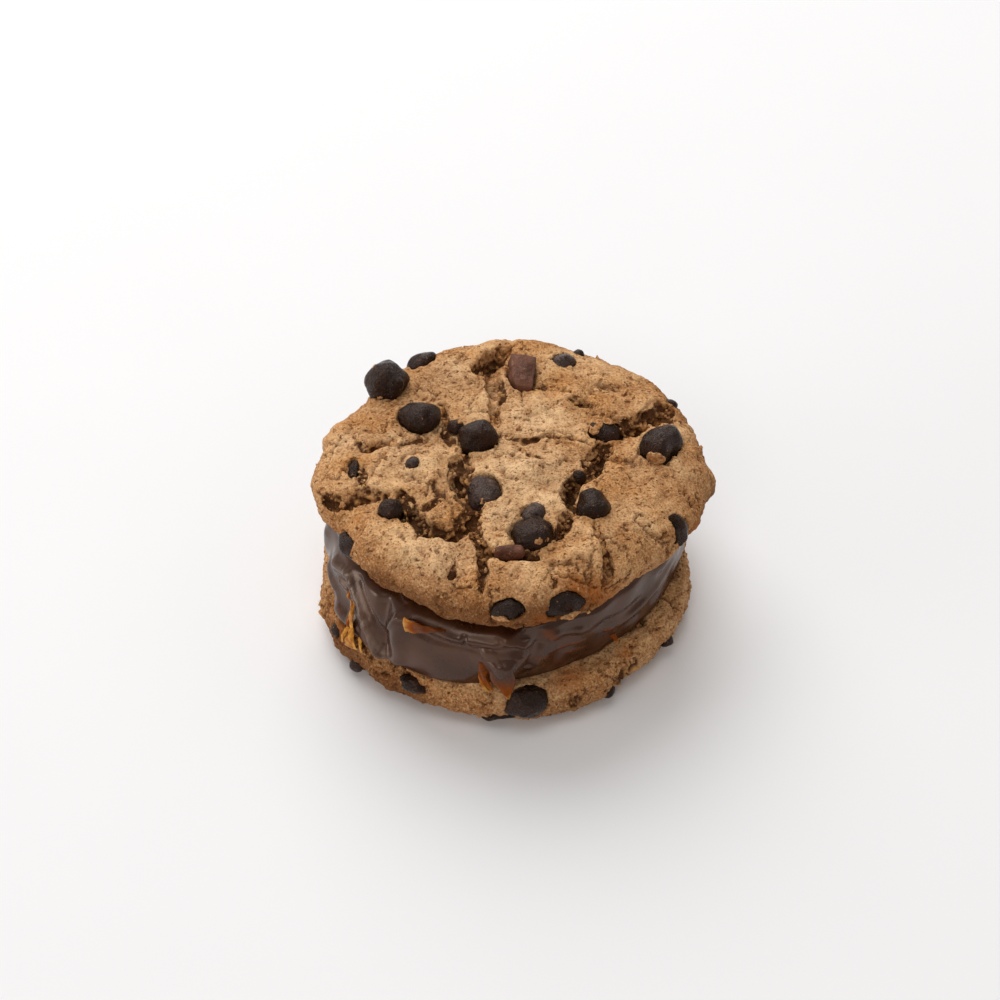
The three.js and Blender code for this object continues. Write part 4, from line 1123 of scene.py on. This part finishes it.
def wall_faces():
    """Squares of the wall, and the triangles that close it to a middle point below and one above."""
    faces = []
    under = ROWS * SECTORS
    for i in range(SECTORS):
        k = (i + 1) % SECTORS
        for row in range(0, (ROWS - 1) * SECTORS, SECTORS):
            faces.append((row + i, row + k, row + SECTORS + k, row + SECTORS + i))
        last = (ROWS - 1) * SECTORS
        faces += [(under, k, i), (under + 1, last + i, last + k)]
    return faces


def make_filling():
    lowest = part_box("filling")[0].z / MM
    azimuths = np.arange(SECTORS) * 2 * math.pi / SECTORS
    levels = np.linspace(0, 1, ROWS)
    low = np.full(SECTORS, lowest)
    lean_x, lean_y = (math.tan(math.radians(angle)) * TOP_RADIUS for angle in TOP_LEAN)
    top = TOP - lean_x * np.cos(azimuths) + lean_y * np.sin(azimuths)
    radii = wall_radius(azimuths, levels, low, top)
    turns, rises = np.meshgrid(azimuths, levels)
    folds, strands, painted_sheen = (fold_reach(np.degrees(turns), rises, lines) for lines in (FOLDS, STRANDS, PAINTED_SHEEN))
    fade = np.clip(np.sin(np.pi * np.clip(rises, 0.02, 0.99)) * 4, 0, 1)
    wave = sum(height * np.sin(often * turns + slant * rises) for height, often, slant in WAVES)
    radii = radii + folds * np.maximum(fade, rises > 0.8) + wave * fade + 0.5 * strands
    heights = low + (top - low) * rises
    wall = np.stack([radii * np.cos(turns), radii * np.sin(turns), heights], axis=-1)
    points = [*wall.reshape(-1, 3), np.array([0, 0, lowest]), np.array([0, 0, TOP])]
    faces = wall_faces()
    thin = [*np.clip(strands, 0, 1).ravel(), 0.0, 0.0]
    for peak in PEAKS:
        more_points, more_faces, more_thin = loft_peak(*peak)
        faces += [tuple(len(points) + v for v in face) for face in more_faces]
        points += more_points
        thin += more_thin
    mesh = bpy.data.meshes.new("filling_glossy")
    mesh.from_pydata([tuple(p * MM) for p in points], [], faces)
    work = bmesh.new()
    work.from_mesh(mesh)
    bmesh.ops.recalc_face_normals(work, faces=work.faces)
    work.to_mesh(mesh)
    work.free()
    mesh.shade_smooth()
    give_attribute(mesh, "thin", thin)
    painted_sheen = np.clip(painted_sheen, 0, 1).ravel()
    give_attribute(mesh, "painted_sheen", np.append(painted_sheen, np.zeros(len(thin) - len(painted_sheen))))
    mesh.materials.append(dulce_de_leche)
    widest = round(float(radii.max()), 1)
    print("filling has", len(mesh.polygons), "faces; widest", widest, "mm from the axis")
    return new_piece("filling_glossy", mesh)


filling = make_filling()

# %% [markdown]
# ## Crumbs
#
# Loose crumbs lie in the cracks and here and there on the crust. They are scattered by Geometry Nodes,
# because hundreds of them follow one rule: more of them in a crack, each with its own size and turn. A
# crumb has 20 faces. The instances are made real at the end, so the export keeps them.


# %% Crumb tree
CRUMBS = {"Crumbs per m2": 4.5e5, "Smallest": 0.12 * MM, "Largest": 0.9 * MM, "Seed": 3}
FULL_TURN = (2 * math.pi,) * 3


def crumb_tree():
    tree, given, result = start_tree("crumbs", CRUMBS)
    ball = add_node(tree, "GeometryNodeMeshIcoSphere", {"Radius": 1.0, "Subdivisions": 1})
    place = add_node(tree, "GeometryNodeInputPosition")
    lumpy = add_node(tree, "ShaderNodeTexNoise", {"Vector": place, "Scale": 1.3}).outputs[1]
    shift = [lumpy, (2.0, 2.0, 2.0), (-1.0, -1.0, -1.0)]
    shift = add_node(tree, "ShaderNodeVectorMath", shift, operation="MULTIPLY_ADD")
    crumb = add_node(tree, "GeometryNodeSetPosition", {0: ball, "Offset": shift})
    share = add_node(tree, "GeometryNodeInputNamedAttribute", {"Name": "crumbly"}, data_type="FLOAT")
    density = [share, given.outputs["Crumbs per m2"]]
    density = add_node(tree, "ShaderNodeMath", density, operation="MULTIPLY")
    scatter = {"Mesh": given, "Density": density, "Seed": given.outputs["Seed"]}
    spots = add_node(tree, "GeometryNodeDistributePointsOnFaces", scatter)
    turn, squash = (
        add_node(tree, "FunctionNodeRandomValue", {0: least, 1: most, "Seed": seed}, data_type="FLOAT_VECTOR")
        for least, most, seed in (((0.0,) * 3, FULL_TURN, 5), ((0.5, 0.5, 0.3), (1.4, 1.1, 0.7), 11))
    )
    chance = add_node(tree, "FunctionNodeRandomValue", {"Seed": 9}, data_type="FLOAT").outputs[1]
    rare = add_node(tree, "ShaderNodeMath", [chance, 3.0], operation="POWER")
    limits = [rare, 0.0, 1.0, given.outputs["Smallest"], given.outputs["Largest"]]
    size = add_node(tree, "ShaderNodeMapRange", limits)
    uneven = add_node(tree, "ShaderNodeVectorMath", {0: squash, "Scale": size}, operation="SCALE")
    put = {"Points": spots, "Instance": crumb, "Rotation": turn, "Scale": uneven}
    return end_tree(tree, given, result, add_node(tree, "GeometryNodeInstanceOnPoints", put))


crumbs_on = crumb_tree()


def crumb_share(mesh):
    """More crumbs in cracks and pits, and none on faces that look down."""
    count = len(mesh.vertices)
    cavity = np.empty(count, np.float32)
    mesh.attributes["cavity"].data.foreach_get("value", cavity)
    normals = np.empty(count * 3, np.float32)
    mesh.vertex_normals.foreach_get("vector", normals)
    upward = np.clip(normals.reshape(-1, 3)[:, 2] * 1.5, 0, 1)
    return upward * (0.12 + 0.88 * cavity)


def scatter_crumbs(name, surface, values):
    """A piece of crumbs on a surface."""
    piece = new_piece(name, surface.data.copy())
    give_attribute(piece.data, "crumbly", crumb_share(piece.data))
    finish_with(piece, crumbs_on, {"Material": dough, **values})
    mark_plain(piece.data, toast_and_shade=0.35)
    print(name, "has", len(piece.data.polygons), "faces")
    return piece


upper_crumbs = scatter_crumbs("crumbs_upper", upper_biscuit, {})
lower_crumbs = scatter_crumbs("crumbs_lower", lower_biscuit, {"Seed": 4})

# %% [markdown]
# ## Bodies
#
# Nothing on an alfajor moves on its own, so every piece rides on the one body, root. Each piece is listed
# with the solids that it stands for, which are hidden, and with a material slot, which is not used.

# %% Tie the pieces to the frame
for piece, slot_name, stands_for in (
    (upper_biscuit, "baked_dough", ["biscuit_upper"]),
    (lower_biscuit, "baked_dough", ["biscuit_lower"]),
    (filling, "dulce_de_leche", ["filling"]),
    (dark_chips, "dark_chocolate", dark_nodes),
    (milk_pieces, "milk_chocolate", milk_nodes),
    (dabs, "baked_dough", []),
    (upper_crumbs, "baked_dough", []),
    (lower_crumbs, "baked_dough", []),
):
    stand_on_floor(piece.data)
    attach(piece, "root")
    if stands_for:
        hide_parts(*stands_for)
    print(piece.name, "stands for", len(stands_for), "of the solids")

# %% [markdown]
# ## Floor, light and camera
#
# The alfajor stands on a white sweep under soft light. The main light is large and comes from behind, a
# little to the left, so the shadow falls softly to the front. A soft box above, a small one in front and
# one low on the left make the chocolate and the filling shine, and a pale world fills the rest.


# %% Floor
FLOOR = 3.0  # m from the middle to an edge


def floor_material(name):
    tree, surface, place = start_material(name)
    fibre = add_node(tree, "ShaderNodeTexNoise", {"Vector": place, "Scale": 1 / (40 * MM), "Detail": 2.0})
    colour = lay_colours(tree, linear("f3f3f4"), [(fibre.outputs[0], None, "f5f5f6")])
    tree.links.new(colour, surface.inputs["Base Color"])
    surface.inputs["Roughness"].default_value = 0.9
    surface.inputs["Specular IOR Level"].default_value = 0.1
    return bpy.data.materials[name]


floor_mesh = bpy.data.meshes.new("floor")
corners = [(x * FLOOR, y * FLOOR, 0) for x, y in ((-1, -1), (1, -1), (1, 1), (-1, 1))]
floor_mesh.from_pydata(corners, [], [(0, 1, 2, 3)])
floor_mesh.materials.append(floor_material("white paper sweep"))
floor = new_piece("floor", floor_mesh)
print("floor", 2 * FLOOR, "m wide")


# %% Lights and world
MIDDLE = Vector((0, 0, 0.02))
# place in m, size in m and power in W
LIGHTS = {
    "main light": ((-0.3, 0.84, 0.93), 1.25, 12.8),
    "soft box above": ((-0.1, -0.3, 1.3), 0.7, 2.6),
    "front box": ((-0.25, -0.95, 0.85), 0.35, 1.2),
    "left box": ((-0.95, -0.36, 0.16), 0.5, 2.4),
}
for name, (place, size, power) in LIGHTS.items():
    light = bpy.data.lights.new(name, "AREA")
    light.shape = "DISK"
    light.size = size
    light.energy = power
    lamp = bpy.data.objects.new(name, light)
    lamp.location = place
    lamp.rotation_euler = (MIDDLE - Vector(place)).to_track_quat("-Z", "Y").to_euler()
    bpy.context.scene.collection.objects.link(lamp)
world = bpy.data.worlds.new("pale room")
world.use_nodes = True
background = world.node_tree.nodes["Background"]
background.inputs["Color"].default_value = linear("fcf8f4")
background.inputs["Strength"].default_value = 0.38
bpy.context.scene.world = world
bpy.context.scene.view_settings.view_transform = "Standard"
print(len(LIGHTS), "lights and", world.name)

# %% [markdown]
# The camera looks down from about 0.65 m, which makes the upper biscuit's far rim smaller than its near
# one by as much as it should be.

# %% Camera
LOOK_AT = Vector((-1.41, 6.17, 19.97)) * MM
LOOK_DOWN = math.radians(44)
AWAY = 650 * MM
lens = bpy.data.cameras.new("camera")
lens.sensor_width = 36.0
lens.lens = 115.8
camera = bpy.data.objects.new("camera", lens)
camera.location = LOOK_AT + AWAY * Vector((0, -math.cos(LOOK_DOWN), math.sin(LOOK_DOWN)))
camera.rotation_euler = (math.pi / 2 - LOOK_DOWN, 0, 0)
bpy.context.scene.collection.objects.link(camera)
bpy.context.scene.camera = camera
print("camera at", [round(v / MM, 1) for v in camera.location], "mm")
